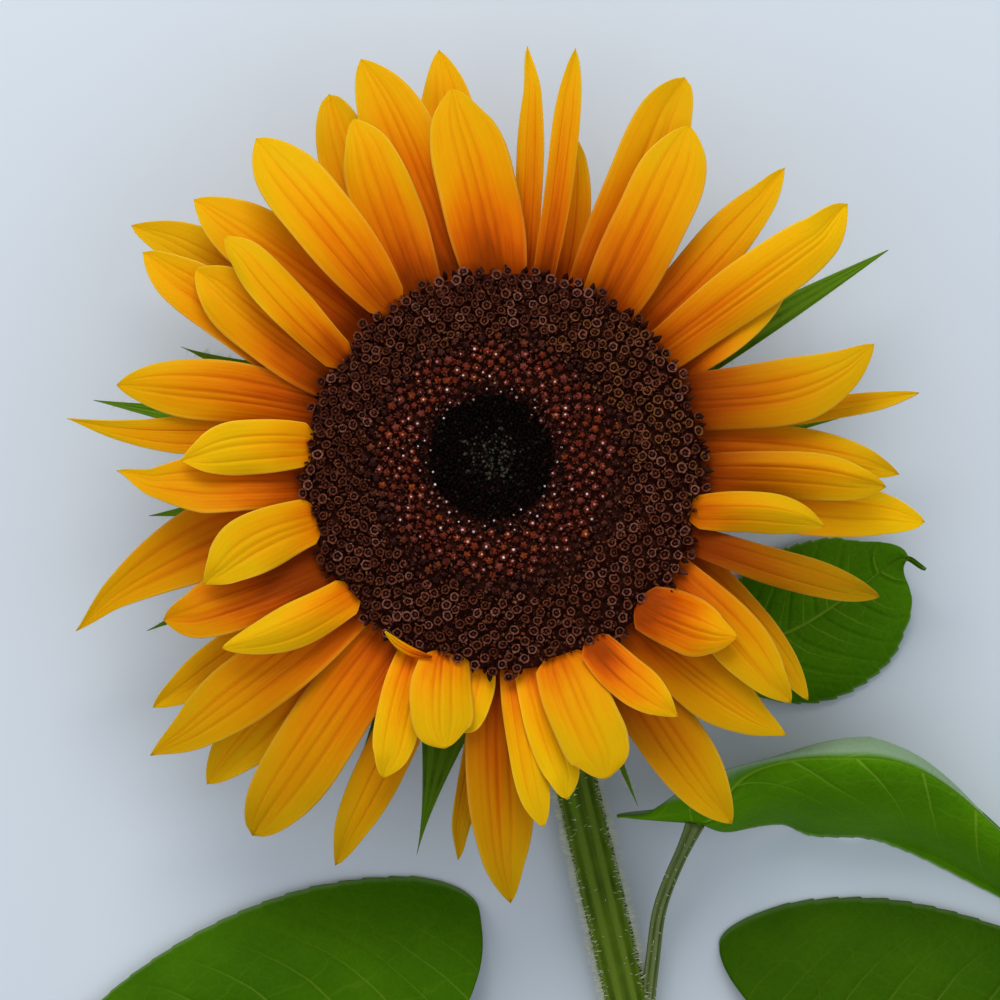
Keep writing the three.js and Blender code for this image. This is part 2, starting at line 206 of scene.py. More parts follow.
def polar(clock, distance):
    # Clock angles in degrees run clockwise from +Y, seen from above
    angle = np.radians(clock)
    return distance * np.sin(angle), distance * np.cos(angle)


def smoothStep(low, high, value):
    share = np.clip((value - low) / (high - low), 0, 1)
    return share * share * (3 - 2 * share)


# Helpers for materials
class Signal:
    # The output of a node: arithmetic with it adds Math nodes to the same tree
    def __init__(self, socket):
        self.socket = socket
        self.tree = socket.id_data

    def __add__(self, other):
        return addMath("ADD", self, other)

    def __sub__(self, other):
        return addMath("SUBTRACT", self, other)

    def __rsub__(self, other):
        return addMath("SUBTRACT", other, self)

    def __mul__(self, other):
        return addMath("MULTIPLY", self, other)

    def __truediv__(self, other):
        return addMath("DIVIDE", self, other)

    def __pow__(self, other):
        return addMath("POWER", self, other)


def plug(socket, value):
    # Links a signal to a socket, or sets it to a number or a colour
    if isinstance(value, Signal):
        value.tree.links.new(value.socket, socket)
    elif isinstance(value, tuple):
        socket.default_value = (*value, 1)[:len(socket.default_value)]
    else:
        socket.default_value = value


def addNode(tree, kind, output=0, **values):
    # Adds a node with properties and inputs set by name, and returns the signal of one output
    node = tree.nodes.new("ShaderNode" + kind)
    for key, value in values.items():
        if hasattr(node, key):
            setattr(node, key, value)
        else:
            plug(node.inputs[key], value)
    return Signal(node.outputs[output])


def addMath(operation, first, second=0.0):
    tree = first.tree if isinstance(first, Signal) else second.tree
    result = addNode(tree, "Math", operation=operation)
    for socket, value in zip(result.socket.node.inputs, (first, second)):
        plug(socket, value)
    return result


def addRamp(factor, stops):
    result = addNode(factor.tree, "ValToRGB", Fac=factor)
    elements = result.socket.node.color_ramp.elements
    while len(elements) < len(stops):
        elements.new(0.5)
    for element, (position, color) in zip(elements, stops):
        element.position = position
        element.color = (*color, 1)
    return result


def mixColor(factor, first, second, blend="MIX"):
    node = first.tree.nodes.new("ShaderNodeMix")
    node.data_type = "RGBA"
    node.blend_type = blend
    for index, value in ((0, factor), (6, first), (7, second)):
        plug(node.inputs[index], value)
    return Signal(node.outputs[2])


def dimColor(color, tone):
    # Makes a colour brighter or darker by one value
    gray = addNode(color.tree, "CombineXYZ", X=tone, Y=tone, Z=tone)
    return mixColor(1.0, color, gray, "MULTIPLY")


def splitMap(uvMap):
    # The across and along values of a UV map
    across = addNode(uvMap.tree, "SeparateXYZ", Vector=uvMap)
    return across, Signal(across.socket.node.outputs[1])


def readAttribute(tree, name):
    return addNode(tree, "Attribute", "Fac", attribute_name=name)


def newMaterial(name, roughness, specular):
    material = bpy.data.materials.new(name)
    material.use_nodes = True
    tree = material.node_tree
    shader = tree.nodes["Principled BSDF"]
    shader.inputs["Roughness"].default_value = roughness
    shader.inputs["Specular IOR Level"].default_value = specular
    return material, tree, shader.inputs


def addBump(sockets, height, strength, distance):
    bump = addNode(height.tree, "Bump", Strength=strength, Distance=distance * millimetre, Height=height)
    plug(sockets["Normal"], bump)


def newGroup(name, **inputs):
    # A shader node group with named inputs: a vector where the default is None, else a number
    group = bpy.data.node_groups.new(name, "ShaderNodeTree")
    for label, default in inputs.items():
        kind = "NodeSocketVector" if default is None else "NodeSocketFloat"
        socket = group.interface.new_socket(label, in_out="INPUT", socket_type=kind)
        if default is not None:
            socket.default_value = default
    source = group.nodes.new("NodeGroupInput")
    return group, {label: Signal(source.outputs[label]) for label in inputs}


def closeGroup(group, **outputs):
    for label in outputs:
        group.interface.new_socket(label, in_out="OUTPUT", socket_type="NodeSocketFloat")
    target = group.nodes.new("NodeGroupOutput")
    for label, value in outputs.items():
        plug(target.inputs[label], value)
    return group


def placeGroup(tree, group, **values):
    # Puts a group in a material, and returns its outputs by name
    node = tree.nodes.new("ShaderNodeGroup")
    node.node_tree = group
    for key, value in values.items():
        plug(node.inputs[key], value)
    return {socket.name: Signal(socket) for socket in node.outputs}


def makeFibreGroup():
    # Fine parallel veins along a blade, from its UV map: a height and a soft mask of streaks
    group, source = newGroup("bladeFibres", Map=None, Seed=0.0, Lines=14.0, Wander=0.35)
    across, along = splitMap(source["Map"])
    slow = addNode(group, "CombineXYZ", X=across * 3.0, Y=along * 2.2, Z=source["Seed"])
    cloud = addNode(group, "TexNoise", Vector=slow, Scale=1.0, Detail=3.0)
    across = across + (cloud - 0.5) * source["Wander"] * 0.25
    wave = (addMath("SINE", across * source["Lines"] * (2 * math.pi)) + 1.0) * 0.5
    fine = addNode(group, "CombineXYZ", X=across * 30.0, Y=along * 2.0, Z=source["Seed"])
    streak = addNode(group, "TexNoise", Vector=fine, Scale=1.0, Detail=2.0)
    return closeGroup(group, Height=wave * 0.5 + streak, Streaks=streak, Cloud=cloud)


def makeTissueGroup():
    # Plant tissue on Object coordinates: soft mottling and the fine cells of a green surface
    group, source = newGroup("plantTissue", Patch=90.0, Cell=700.0)
    place = addNode(group, "TexCoord", "Object")
    mottle = addNode(group, "TexNoise", Vector=place, Scale=source["Patch"], Detail=4.0)
    cells = addNode(group, "TexVoronoi", feature="DISTANCE_TO_EDGE", Vector=place, Scale=source["Cell"])
    return closeGroup(group, Mottle=mottle, Cells=addMath("MINIMUM", cells * 4.0, 1.0))


def makeVeinGroup():
    # A leaf's midrib, side veins and the thin branches between them, from its UV map
    group, source = newGroup("leafVeins", Map=None, Count=7.0)

    def far(value):
        # Distance from the nearest whole number
        return addMath("ABSOLUTE", value - addMath("ROUND", value))

    def thin(distance, width):
        # 1 on a line and 0 beyond its width
        return addMath("MINIMUM", addMath("MAXIMUM", 1.4 - distance / width, 0.0), 1.0)

    stray = addNode(group, "TexNoise", Vector=source["Map"], Scale=7.0, Detail=2.0) - 0.5
    across, height = splitMap(source["Map"])
    along = height ** leafLook["stretch"]
    reach = addMath("ABSOLUTE", across - 0.5) * 2.0
    slant = reach ** leafLook["veinCurve"] * leafLook["sweep"]
    foot = along - addMath("GREATER_THAN", across, 0.5) * leafLook["veinShift"] - slant
    place = (foot / (1.0 - slant) - leafLook["veinStart"]) / leafLook["veinSpan"]
    number = addMath("ABSOLUTE", place) ** (1 / leafLook["veinSpread"]) * addMath("SIGN", place)
    number = number * source["Count"] + stray * 0.12
    side = thin(far(number), (1.25 - reach) * 0.026)
    branch = thin(far(reach * 5.0 + number * 0.6 + stray), 0.03)
    rest = thin(reach, 0.7)
    middle = thin(reach, (1.2 - along) * 0.022)
    veins = addMath("MAXIMUM", side * 0.75, branch * 0.22) * rest
    return closeGroup(group, Veins=addMath("MAXIMUM", veins, middle))


fibreGroup = makeFibreGroup()
tissueGroup = makeTissueGroup()


# Ray florets, called petals
petalLook = {
    "thickness": 0.35,
    "columns": 36,
    "rows": 44,
    "rimGap": 0.3,  # the petals' own rim lies this far outside the disc
    "rootInside": 3.0,  # and a petal starts this far inside it, under the florets
    "peak": 0.55,  # where a petal is widest
    "puff": 0.035,  # how far the stretches between its creases bulge, as a share of their width
    "crease": 0.24,  # depth of its creases
    "creaseWidth": 0.045,
    "creaseSpan": (0.2, 0.48),  # how far they lie from its middle, as a share of half its width
    "thirdCrease": 12,  # petals wider than this have one in the middle as well
    "ruffle": 0.6,
    "wobble": 0.035,  # how far the outline swells and narrows
    "roll": 0.12,
    "footDip": (1.0, 1.2, 1.2, 1.1, 1.1),  # how far each layer's feet dip under the florets of the rim
    "blunt": 0.8,  # below 1 the tips are rounder
    "frontHeight": 48.4,
    "layerStep": 1.9,
    "nib": 0.9,  # width of the small nib at the tip
    "variety": (0.93, 1.03),  # brightness from petal to petal
    "hangShade": 0.28,  # petals that hang below the head are this much darker
    "frontShade": 0.08,  # and those of the front layer this much brighter there
    "shadedFootSides": (85, 310),  # clock angles of the sides where the petals' feet are painted darker, as shade
}

# How each layer's petals leave the rim and droop again, their foot's share of the width, and their tips
petalLayers = [
    {"rise": 0.4, "droop": 0.0075, "lift": 0.16, "dome": 0.1, "foot": 0.72, "point": 3.0, "shade": 1.02},
    {"rise": 0.22, "droop": 0.0045, "lift": 0.05, "dome": 0.05, "foot": 0.74, "point": 2.6, "shade": 1.0},
    {"rise": 0.1, "droop": 0.003, "lift": 0.0, "dome": 0.02, "foot": 0.75, "point": 2.3, "shade": 1.0},
    {"rise": -0.02, "droop": 0.002, "lift": 0.0, "dome": -0.02, "foot": 0.8, "point": 2.1, "shade": 0.99},
    {"rise": -0.12, "droop": 0.0015, "lift": 0.0, "dome": -0.02, "foot": 0.8, "point": 2.1, "shade": 0.95},
]


def ray(foot, tip, reach, width, layer, **more):
    return {"foot": foot, "tip": tip, "reach": reach, "width": width, "layer": layer, **more}


# Clock angles of foot and tip, reach and width (mm) and layer, clockwise, and what differs from its layer:
# level (in layers, downwards), point and blunt (tip), base (foot's width), bow and hook (bends), fold and
# ridge (keel), tone, lit and footLit (brightness, with painted light and shade in it), yellow and gold
# (colour) and deep (a painted shade that darkens the foot to red-brown)
petals = [
    ray(6, 3.3, 94.6, 5.8, 3, base=1.05, gold=0.1),
    ray(12, 9.7, 94.8, 6.2, 1, lit=0.95),
    ray(16.5, 10.8, 77.4, 10.4, 3),
    ray(26.8, 24.7, 96.1, 15.2, 2, blunt=0.6, lit=0.95),
    ray(32.4, 28.3, 86.7, 16.5, 1),
    ray(44.2, 42.8, 91.7, 10.6, 2),
    ray(52.8, 52.1, 96.4, 12.8, 1, nib=1.5, hook=-1.4, lit=1.2, gold=0.1),
    ray(58.5, 54.5, 79, 12.4, 2),
    ray(68.5, 71.0, 86.5, 14.3, 1, point=1.7, base=0.9, bow=4.2, gold=0.05, deep=1.2),
    ray(78, 79.2, 93.9, 5.3, 3),
    ray(82, 90.3, 87.6, 11, 2, point=1.7),
    ray(90.5, 92.2, 84.5, 10.5, 1, bow=-1.0, fold=0.5, ridge=-0.5, deep=1.2),
    ray(97, 96.7, 94.2, 12, 3, blunt=0.7, lit=1.28),
    ray(102.3, 99.6, 71.7, 9.2, 0, point=2.0, blunt=1.0, bow=-1.8, fold=0.6, ridge=-0.3),
    ray(109.9, 108.3, 87.6, 8.1, 1, tone=0.86, lit=0.6, deep=1.2),
    ray(115.5, 126.8, 84.3, 8.8, 3, point=1.8, base=1.3),
    ray(121, 128.7, 81.4, 12.1, 1, point=2.0, base=0.8, deep=0.25),
    ray(134, 125.2, 62.9, 13, 0, level=-1.3, point=1.9, blunt=1.0, fold=0.5, ridge=-0.2, lit=0.95,
        yellow=-0.22),
    ray(139.5, 132.9, 85.4, 13.6, 2, point=1.8, blunt=1.0, lit=1.16),
    ray(148.5, 146.9, 93.1, 14.8, 3, lit=1.1, deep=1.4),
    ray(153, 144.4, 66, 9.8, 0, level=-0.8, point=1.8, blunt=1.0, gold=-0.36),
    ray(163, 161.2, 71.1, 15.4, 0),
    ray(172, 168.9, 73.5, 9.4, 1, base=0.85, tone=1.12, lit=1.14, yellow=0.17),
    ray(177, 173.5, 78.8, 7.9, 1, level=1.9, tone=1.12, yellow=0.14),
    ray(181.6, 179, 95.6, 14.7, 3, footLit=0.2),
    ray(184, 186.6, 86.7, 5.7, 4),
    ray(188, 190, 58.2, 10.4, 1, base=0.85, tone=1.15, yellow=0.2),
    ray(198, 191.9, 62, 13.9, 0, level=-0.4),
    ray(201, 203.1, 94.9, 11, 3, footLit=0.3),
    ray(206, 201.4, 72.4, 10.2, 1, tone=1.12, footLit=0.1, yellow=0.14),
    ray(214.9, 214.6, 97.7, 16.5, 2, level=2.35, blunt=0.6, fold=0.08, lit=0.93, footLit=0.65),
    ray(224.8, 223.5, 95.4, 14.3, 3, level=3.6, fold=0.05, roll=0.0, lit=1.28, footLit=0.4),
    ray(229, 231.2, 100, 15.2, 2, level=1.6, point=1.8, blunt=1.0, fold=0.05, lit=0.94, footLit=0.45),
    ray(231, 237.9, 72.8, 9.8, 0, point=2.0, base=0.85, peak=0.4, bow=-0.8, fold=0.4, ridge=0.25, gold=0.1),
    ray(237, 236.1, 93.8, 9.9, 4, lit=1.25),
    ray(242, 246.5, 81.6, 13.2, 1, lit=0.92, gold=-0.35),
    ray(255.5, 249.4, 70.2, 13.2, 0, point=2.2, blunt=1.0, bow=2.0, lit=1.03, gold=0.15),
    ray(262, 249.6, 101, 17, 3, point=1.4, blunt=1.0, peak=0.4),
    ray(267, 270.2, 85.1, 13.2, 1, point=1.3, blunt=1.0, hook=1.5),
    ray(278, 272, 70.8, 12.2, 0, point=2.1, blunt=1.0, bow=0.8, lit=1.15, gold=0.25),
    ray(282, 277, 97, 8.6, 2, point=1.1, blunt=1.0, bow=-2.6, gold=0.13),
    ray(289.3, 282.7, 87.3, 13.4, 1, level=1.5),
    ray(297.5, 301.4, 93.3, 12.8, 2, bow=0.8),
    ray(299.5, 303.5, 81.2, 15, 1),
    ray(305, 310.3, 79.9, 9.4, 0),
    ray(309.5, 303.6, 99.4, 13.4, 4, lit=1.08, gold=0.22),
    ray(317, 311.4, 91.1, 15.8, 2),
    ray(326, 323.5, 91.3, 15.2, 0, level=0.4, base=0.45),
    ray(330.5, 335.3, 92.3, 13.8, 3, blunt=0.6),
    ray(335, 337.1, 84.5, 14.3, 1, level=0.7),
    ray(346, 341, 96.6, 16.5, 2, lit=0.95),
    ray(350, 351.4, 94.7, 14.3, 3),
    ray(358, 352.3, 85.2, 17.8, 1, point=2.2, footLit=0.3),
]

# One small floret lies folded along the disc's rim: clock angles of its ends, distance and width
foldedFloret = {"foot": 201.0, "tip": 216.5, "reach": 43.6, "width": 1.9, "columns": 12, "rows": 24}


def petalMaterial():
    material, tree, sockets = newMaterial("petalGold", 0.6, 0.03)
    names = ("petalSeed", "petalTone", "petalYellow", "petalFoot", "petalCrease", "petalEdge")
    seed, tone, yellow, foot, crease, edge = [readAttribute(tree, name) for name in names]
    uvMap = addNode(tree, "UVMap", uv_map="UVMap")
    fibres = placeGroup(tree, fibreGroup, Map=uvMap, Seed=seed, Lines=11.0)
    across, along = splitMap(uvMap)
    # Orange runs further up the middle of a petal than up its sides, further in some streaks, and further
    # in its creases with their painted shade
    middle = across - 0.5
    drift = (fibres["Cloud"] - 0.5) * 0.5 + middle * middle * 0.75
    ripe = along + (fibres["Streaks"] - 0.5) * 0.26 + drift - crease * 0.14 + yellow
    color = addRamp(ripe, [
        (0.0, (0.3, 0.042, 0.0005)),
        (0.15, (0.54, 0.084, 0.0005)),
        (0.35, (0.75, 0.175, 0.0005)),
        (0.6, (0.78, 0.295, 0.0005)),
        (0.84, (0.75, 0.36, 0.001)),
        (1.0, (0.69, 0.385, 0.0015)),
    ])
    lines = addRamp(fibres["Height"], [(0.42, (0.82, 0.68, 0.6)), (0.7, (1, 1, 1))])
    color = mixColor(0.14, color, lines, "MULTIPLY")
    # Painted shade: the creases are darkened to brown-orange
    color = mixColor(crease * 0.22, color, (0.45, 0.14, 0.0005))
    # Painted rim light: a pale line along the petal's edges, stronger towards its tip
    color = mixColor(edge * (along * 0.35 + 0.2), color, (0.82, 0.5, 0.06))
    # Painted light and shade: the whole petal is brightened or darkened, with brighter feet on some
    color = dimColor(color, tone)
    # Painted shade: the feet of petals on the shaded sides are darkened to red-brown
    rest = 1.0 - along
    plug(sockets["Base Color"], mixColor(rest * rest * foot, color, (0.2, 0.028, 0.0005)))
    plug(sockets["Roughness"], fibres["Streaks"] * 0.2 + 0.48)
    plug(sockets["Subsurface Weight"], 0.3)
    plug(sockets["Subsurface Radius"], (1.0, 0.45, 0.05))
    plug(sockets["Subsurface Scale"], 0.0015)
    addBump(sockets, fibres["Height"], 0.22, 0.12)
    return material


def creaseDepth(across, creases):
    return sum(np.exp(-(((across - place) / petalLook["creaseWidth"]) ** 2)) for place in creases)


def petalShape(petal, chance):
    # Returns shape(across, along) for one petal, and the places of its creases
    layer = petalLayers[petal["layer"]]
    rim = head["discRadius"] + petalLook["rimGap"]
    start = rim - petalLook["rootInside"]
    roll = petal.get("roll", chance.normal(0, petalLook["roll"]))
    ruffle = petalLook["ruffle"] * chance.uniform(0.4, 1.4)
    phase = chance.uniform(0, 2 * np.pi)
    waves = chance.uniform(0.8, 1.9)
    point = petal.get("point", layer["point"] + chance.uniform(-0.35, 0.5))
    bow = petal.get("bow", 0.0)
    curl = chance.uniform(0.2, 1.8)
    hook = petal.get("hook", chance.uniform(-0.9, 0.9))
    fold = petal.get("fold", chance.choice([-1, 1]) * chance.uniform(0.04, 0.2))
    foldPlace = petal.get("ridge", chance.uniform(-0.3, 0.3))
    creases = [-chance.uniform(*petalLook["creaseSpan"]), chance.uniform(*petalLook["creaseSpan"])]
    if petal["width"] > petalLook["thirdCrease"]:
        creases = sorted(creases + [chance.uniform(-0.1, 0.1)])
    stops = [-1.0] + creases + [1.0]

    def centre(along):
        clock = petal["foot"] + (petal["tip"] - hook - petal["foot"]) * along + bow * np.sin(np.pi * along)
        clock = clock + hook * smoothStep(0.8, 1.0, along)
        x, y = polar(clock, start + (petal["reach"] - start) * along)
        return np.stack([x, y], 1)

    def outline(across, along):
        # Half the petal's width: it swells to its peak, tapers to its tip and ends in a small nib
        peak = petal.get("peak", petalLook["peak"])
        grow = np.sin(np.pi / 2 * np.clip(along / peak, 0, 1))
        taper = 1 - np.clip((along - peak) / (1 - peak), 0, 1) ** point
        taper = taper ** petal.get("blunt", petalLook["blunt"])
        base = petal.get("base", layer["foot"])
        share = np.where(along < peak, base + (1 - base) * grow, taper)
        if petal["layer"] == 0:
            share = share * np.sqrt(np.clip((along + 0.012) / 0.1, 0, 1))
        share = np.maximum(share, petal.get("nib", petalLook["nib"]) / petal["width"] * (1.02 - along**16))
        wobble = 1 + petalLook["wobble"] * np.sin(2 * np.pi * 1.4 * along + phase * np.sign(across))
        return petal["width"] / 2 * share * wobble

    def shape(across, along):
        step = unit(centre(along + 0.01) - centre(along - 0.01))
        half = outline(across, along)
        spot = centre(along) + np.stack([step[:, 1], -step[:, 0]], 1) * (across * half)[:, None]
        out = np.hypot(spot[:, 0], spot[:, 1]) - rim
        body = np.sin(np.pi * np.clip(along, 0, 1)) ** 0.6
        # The level of its layer, its rise and droop, and how it arches across
        z = petalLook["frontHeight"] - petalLook["layerStep"] * petal.get("level", petal["layer"])
        z = z - petalLook["footDip"][petal["layer"]] * (1 - smoothStep(0.0, 7.0, out))
        z = z + layer["rise"] * out - layer["droop"] * out**2
        z += layer["lift"] * (petal["reach"] - rim) * np.sin(np.pi * np.clip(along, 0, 1) ** 0.8) * 0.5
        z -= layer["dome"] * half * across**2 * 2.0 * smoothStep(0.0, 0.3, along)
        # Puffed stretches between creases, a keel, ruffled sides, a roll and a curled tip
        for low, high in zip(stops, stops[1:]):
            share = np.clip((across - low) / (high - low), 0, 1)
            z += petalLook["puff"] * (high - low) * half * (4 * share * (1 - share)) ** 0.8 * body
        z -= petalLook["crease"] * creaseDepth(across, creases) * body * np.clip(half / 5, 0.3, 1.2)
        z -= fold * np.sqrt((across - foldPlace) ** 2 + 0.003) * half * smoothStep(0, 0.4, along)
        wave = np.sin(2 * np.pi * waves * along + phase + 1.3 * np.sign(across))
        z += ruffle * wave * np.abs(across) ** 3 * body
        z += roll * across * half * smoothStep(0.0, 0.45, along)
        z += 0.35 * curl * np.abs(across) * smoothStep(0.75, 1.0, along) * half
        z -= curl * 1.6 * smoothStep(0.72, 1.05, along) ** 1.5
        return np.column_stack([spot, z])

    return shape, creases


def petalColors(petal, chance):
    # Painted light and shade as each petal's brightness, its yellowness, and the painted shade on its foot,
    # from where the petal points and its layer
    def toward(clock):
        return max(0.0, math.cos(math.radians(petal["tip"] - clock)))

    front = petal["layer"] == 0
    hang = max(0.0, -math.cos(math.radians(petal["tip"] - 10))) * min(1.0, petal["layer"] / 2)
    shade = petalLayers[petal["layer"]]["shade"] * (1 - petalLook["hangShade"] * hang)
    # Painted light and shade: random brightness, darker where petals hang below the head, and each petal's
    # lit factor
    tone = petal.get("tone", shade * chance.uniform(*petalLook["variety"])) * petal.get("lit", 1.0)
    if front:
        tone *= 1 + petalLook["frontShade"] * max(0.0, -math.cos(math.radians(petal["tip"])))
    upper = math.cos(math.radians(petal["tip"] + 10))
    yellow = 0.16 - 0.06 * upper if front else -0.04 * max(0.0, upper)
    right, upperLeft = [toward(clock) for clock in petalLook["shadedFootSides"]]
    yellow += 0.05 * right - 0.05 * upperLeft + petal.get("gold", 0.0)
    # Painted shade on the feet of petals toward those sides, half as strong in the front layer
    deep = (0.8 * right + 0.45 * upperLeft) * (0.5 if front else 1.0)
    return tone, petal.get("yellow", yellow), petal.get("deep", deep)


def makePetals():
    chance = np.random.default_rng(head["seed"])
    material = petalMaterial()
    columns, rows = petalLook["columns"], petalLook["rows"]
    across, along = gridPlaces(columns, rows)
    for number, petal in enumerate(petals, 1):
        shape, creases = petalShape(petal, chance)
        tone, yellow, deep = petalColors(petal, chance)
        piece = gridPiece(f"rayFloret_{number:02d}", columns, rows, shape)
        addAttributes(
            piece,
            petalSeed=number * 1.7,
            # Painted light and shade in the brightness, with brighter feet on some petals
            petalTone=tone * (1 + petal.get("footLit", 0.0) * (1 - along) ** 1.5),
            petalYellow=yellow,
            # Painted shade on the foot
            petalFoot=deep,
            # Painted shade in the creases
            petalCrease=creaseDepth(across, creases) * np.sin(np.pi * along) ** 0.5,
            # Painted rim light along the edges
            petalEdge=smoothStep(0.9, 1.0, np.abs(across)),
        )
        thicken(piece, petalLook["thickness"])
        finishPiece(piece, material, "petal", f"petal_{number:02d}")

    def foldedShape(across, along):
        clock = foldedFloret["foot"] + (foldedFloret["tip"] - foldedFloret["foot"]) * along
        half = foldedFloret["width"] / 2 * np.sin(np.pi * np.clip(along, 0.02, 0.985)) ** 0.8
        x, y = polar(clock, foldedFloret["reach"] + across * half + 0.8 * np.sin(np.pi * along))
        z = head["top"] + 0.9 - 0.5 * np.abs(across) * half + 0.15 * np.cos(9 * across) - 1.2 * (1 - along)
        return np.column_stack([x, y, z])

    columns, rows = foldedFloret["columns"], foldedFloret["rows"]
    piece = gridPiece("foldedFloret", columns, rows, foldedShape)
    crease = creaseDepth(gridPlaces(columns, rows)[0], [0.1])
    addAttributes(piece, petalSeed=3.3, petalTone=0.95, petalYellow=-0.12, petalCrease=crease)
    addAttributes(piece, petalFoot=0.0)
    thicken(piece, petalLook["thickness"])
    finishPiece(piece, material, "petal")
    print("petals made:", len(petals) + 1)


# Disc florets, in a spiral of golden-angle steps
discLook = {
    "goldenAngle": 137.5077,
    "heartRadius": 13.4,  # black heart
    "gloomRadius": 16.6,  # dark belt of buds with pale grains, round the heart
    "redRadius": 25.8,  # red-brown belt of closed florets
    "beltRadius": 29.2,  # dark belt of opening florets, and rings beyond it
    "heartRoom": 0.6,  # square millimetres for each scale in the heart
    "innerRoom": 3.4,  # and for each floret, in the middle and at the rim
    "outerRoom": 6.5,
    "chaffRoom": 1.15,  # and for each dry scale between them
    "domeDrop": 2.2,  # the dark ground lies this far below the florets' tops
    "goldenSide": (38.0, 85.0),  # clock angles between which golden-brown lips are dealt to the rings
    "litSide": 115,  # clock angle of the lit side, where paler lips are painted most often
    "raggedLip": 0.08,  # how far the points of a lip stray
    "rimScales": 130,
}

# How far each kind is sunk, jittered, tilted and set lower or higher on the dome, and its size
discSeats = {
    "open": {"sink": 1.9, "jitter": 0.13, "tilt": 0.16, "rise": (-0.35, 0.25), "size": (0.84, 1.05)},
    "closed": {"sink": 2.05, "jitter": 0.14, "tilt": 0.16, "rise": (-0.4, 0.2), "size": (0.78, 1.08)},
    "chaff": {"sink": 1.95, "jitter": 0.35, "tilt": 0.2, "rise": (-0.6, 0.2), "size": (0.65, 1.25)},
    "heart": {"sink": 1.9, "jitter": 0.12, "tilt": 0.2, "rise": (-0.3, 0.2), "size": (0.75, 1.05)},
}

# Radius and height of the surface that the florets' tops follow, from the rim's height
discProfile = [(0, -2.4), (6, -2.2), (13, -1.2), (20, 0.2), (27, 0.9), (36, 0.6), (42, -0.2), (44.1, -1.2)]


def discHeight(radius):
    radii, heights = zip(*discProfile)
    return head["top"] + np.interp(radius, radii, heights)


def discShift(radius):
    # The spiral's middle is drawn up and left, and its rim stays where it is
    share = np.clip(1 - (radius / head["discRadius"]) ** 2, 0, 1)
    return share * head["heart"][0], share * head["heart"][1]


def plainMaterial(name, color, roughness, specular=0.04):
    # One colour group of small florets, with a little lighter and darker tissue in it
    material, tree, sockets = newMaterial(name, roughness, specular)
    tissue = placeGroup(tree, tissueGroup, Patch=1500.0, Cell=2500.0)
    dark = tuple(c * 0.5 for c in color)
    light = tuple(min(1.0, c * 1.5) for c in color)
    plug(sockets["Base Color"], addRamp(tissue["Mottle"], [(0.3, dark), (0.7, light)]))
    return material


def paintGroups(piece, groups, *looks):
    # Deals out colour groups, one for each copy or for each face: name, colour and roughness of each
    faces = len(piece.data.polygons) // len(groups)
    piece.data.polygons.foreach_set("material_index", np.repeat(groups, faces).astype(np.int32))
    for name, color, roughness in looks:
        piece.data.materials.append(plainMaterial(name, color, roughness))
    finishPiece(piece, None, "disc")


def spiralPlaces(reach, innerRoom, outerRoom):
    # Polar radius and clock of each floret: its room grows from the middle to the rim
    radii = np.linspace(0, reach, 4000)
    room = innerRoom + (outerRoom - innerRoom) * radii / reach
    counts = np.concatenate([[0], np.cumsum(2 * np.pi * radii[1:] * np.diff(radii) / room[1:])])
    numbers = np.arange(int(counts[-1]))
    return np.interp(numbers + 0.5, counts, radii), numbers * discLook["goldenAngle"]


def makeDiscDome():
    profile = [(head["discRadius"] - 0.4, -12.0)]
    profile += [(r - 0.4, h - discLook["domeDrop"]) for r, h in reversed(discProfile) if r > 0]
    dome = turnedForm("discDome", profile, 96)
    points = getPoints(dome) / millimetre
    shiftX, shiftY = discShift(np.hypot(points[:, 0], points[:, 1]))
    points += np.column_stack([shiftX, shiftY, np.full(len(points), head["top"] + profile[0][1])])
    setPoints(dome, points)
    finishPiece(dome, plainMaterial("discGround", (0.035, 0.0085, 0.005), 0.9, 0.02), "disc", "disc")


def floretSpots(seat, radius, clock, chance):
    # Places on the dome, sunk below the florets' tops, and turns that lean outwards near the rim
    x, y = polar(clock, radius)
    shiftX, shiftY = discShift(radius)
    spots = np.column_stack([x + shiftX, y + shiftY, discHeight(radius) - seat["sink"]])
    spots[:, :2] += chance.normal(0, seat["jitter"], (len(radius), 2))
    lean = np.clip((radius - 34) / 10, 0, 1) * 0.35
    outX, outY = x / np.maximum(radius, 1) * lean, y / np.maximum(radius, 1) * lean
    directions = np.column_stack([outX, outY, np.ones(len(radius))])
    directions[:, :2] += chance.normal(0, seat["tilt"], (len(radius), 2))
    return spots, turnsTo(directions, chance.uniform(0, 2 * np.pi, len(radius)))


def lobedForm(name, profile, depth, low, high, sides=15, lobes=5):
    # A turned form whose outline swells into lobes between two heights
    points, faces = takeForm(turnedForm(name, profile, sides))
    swell = smoothStep(low, high, points[:, 2])
    lobe = np.cos(lobes * np.arctan2(points[:, 1], points[:, 0]))
    points[:, :2] *= (1 + depth * swell * lobe)[:, None]
    points[:, 2] += 0.6 * depth * swell * lobe
    return points, faces


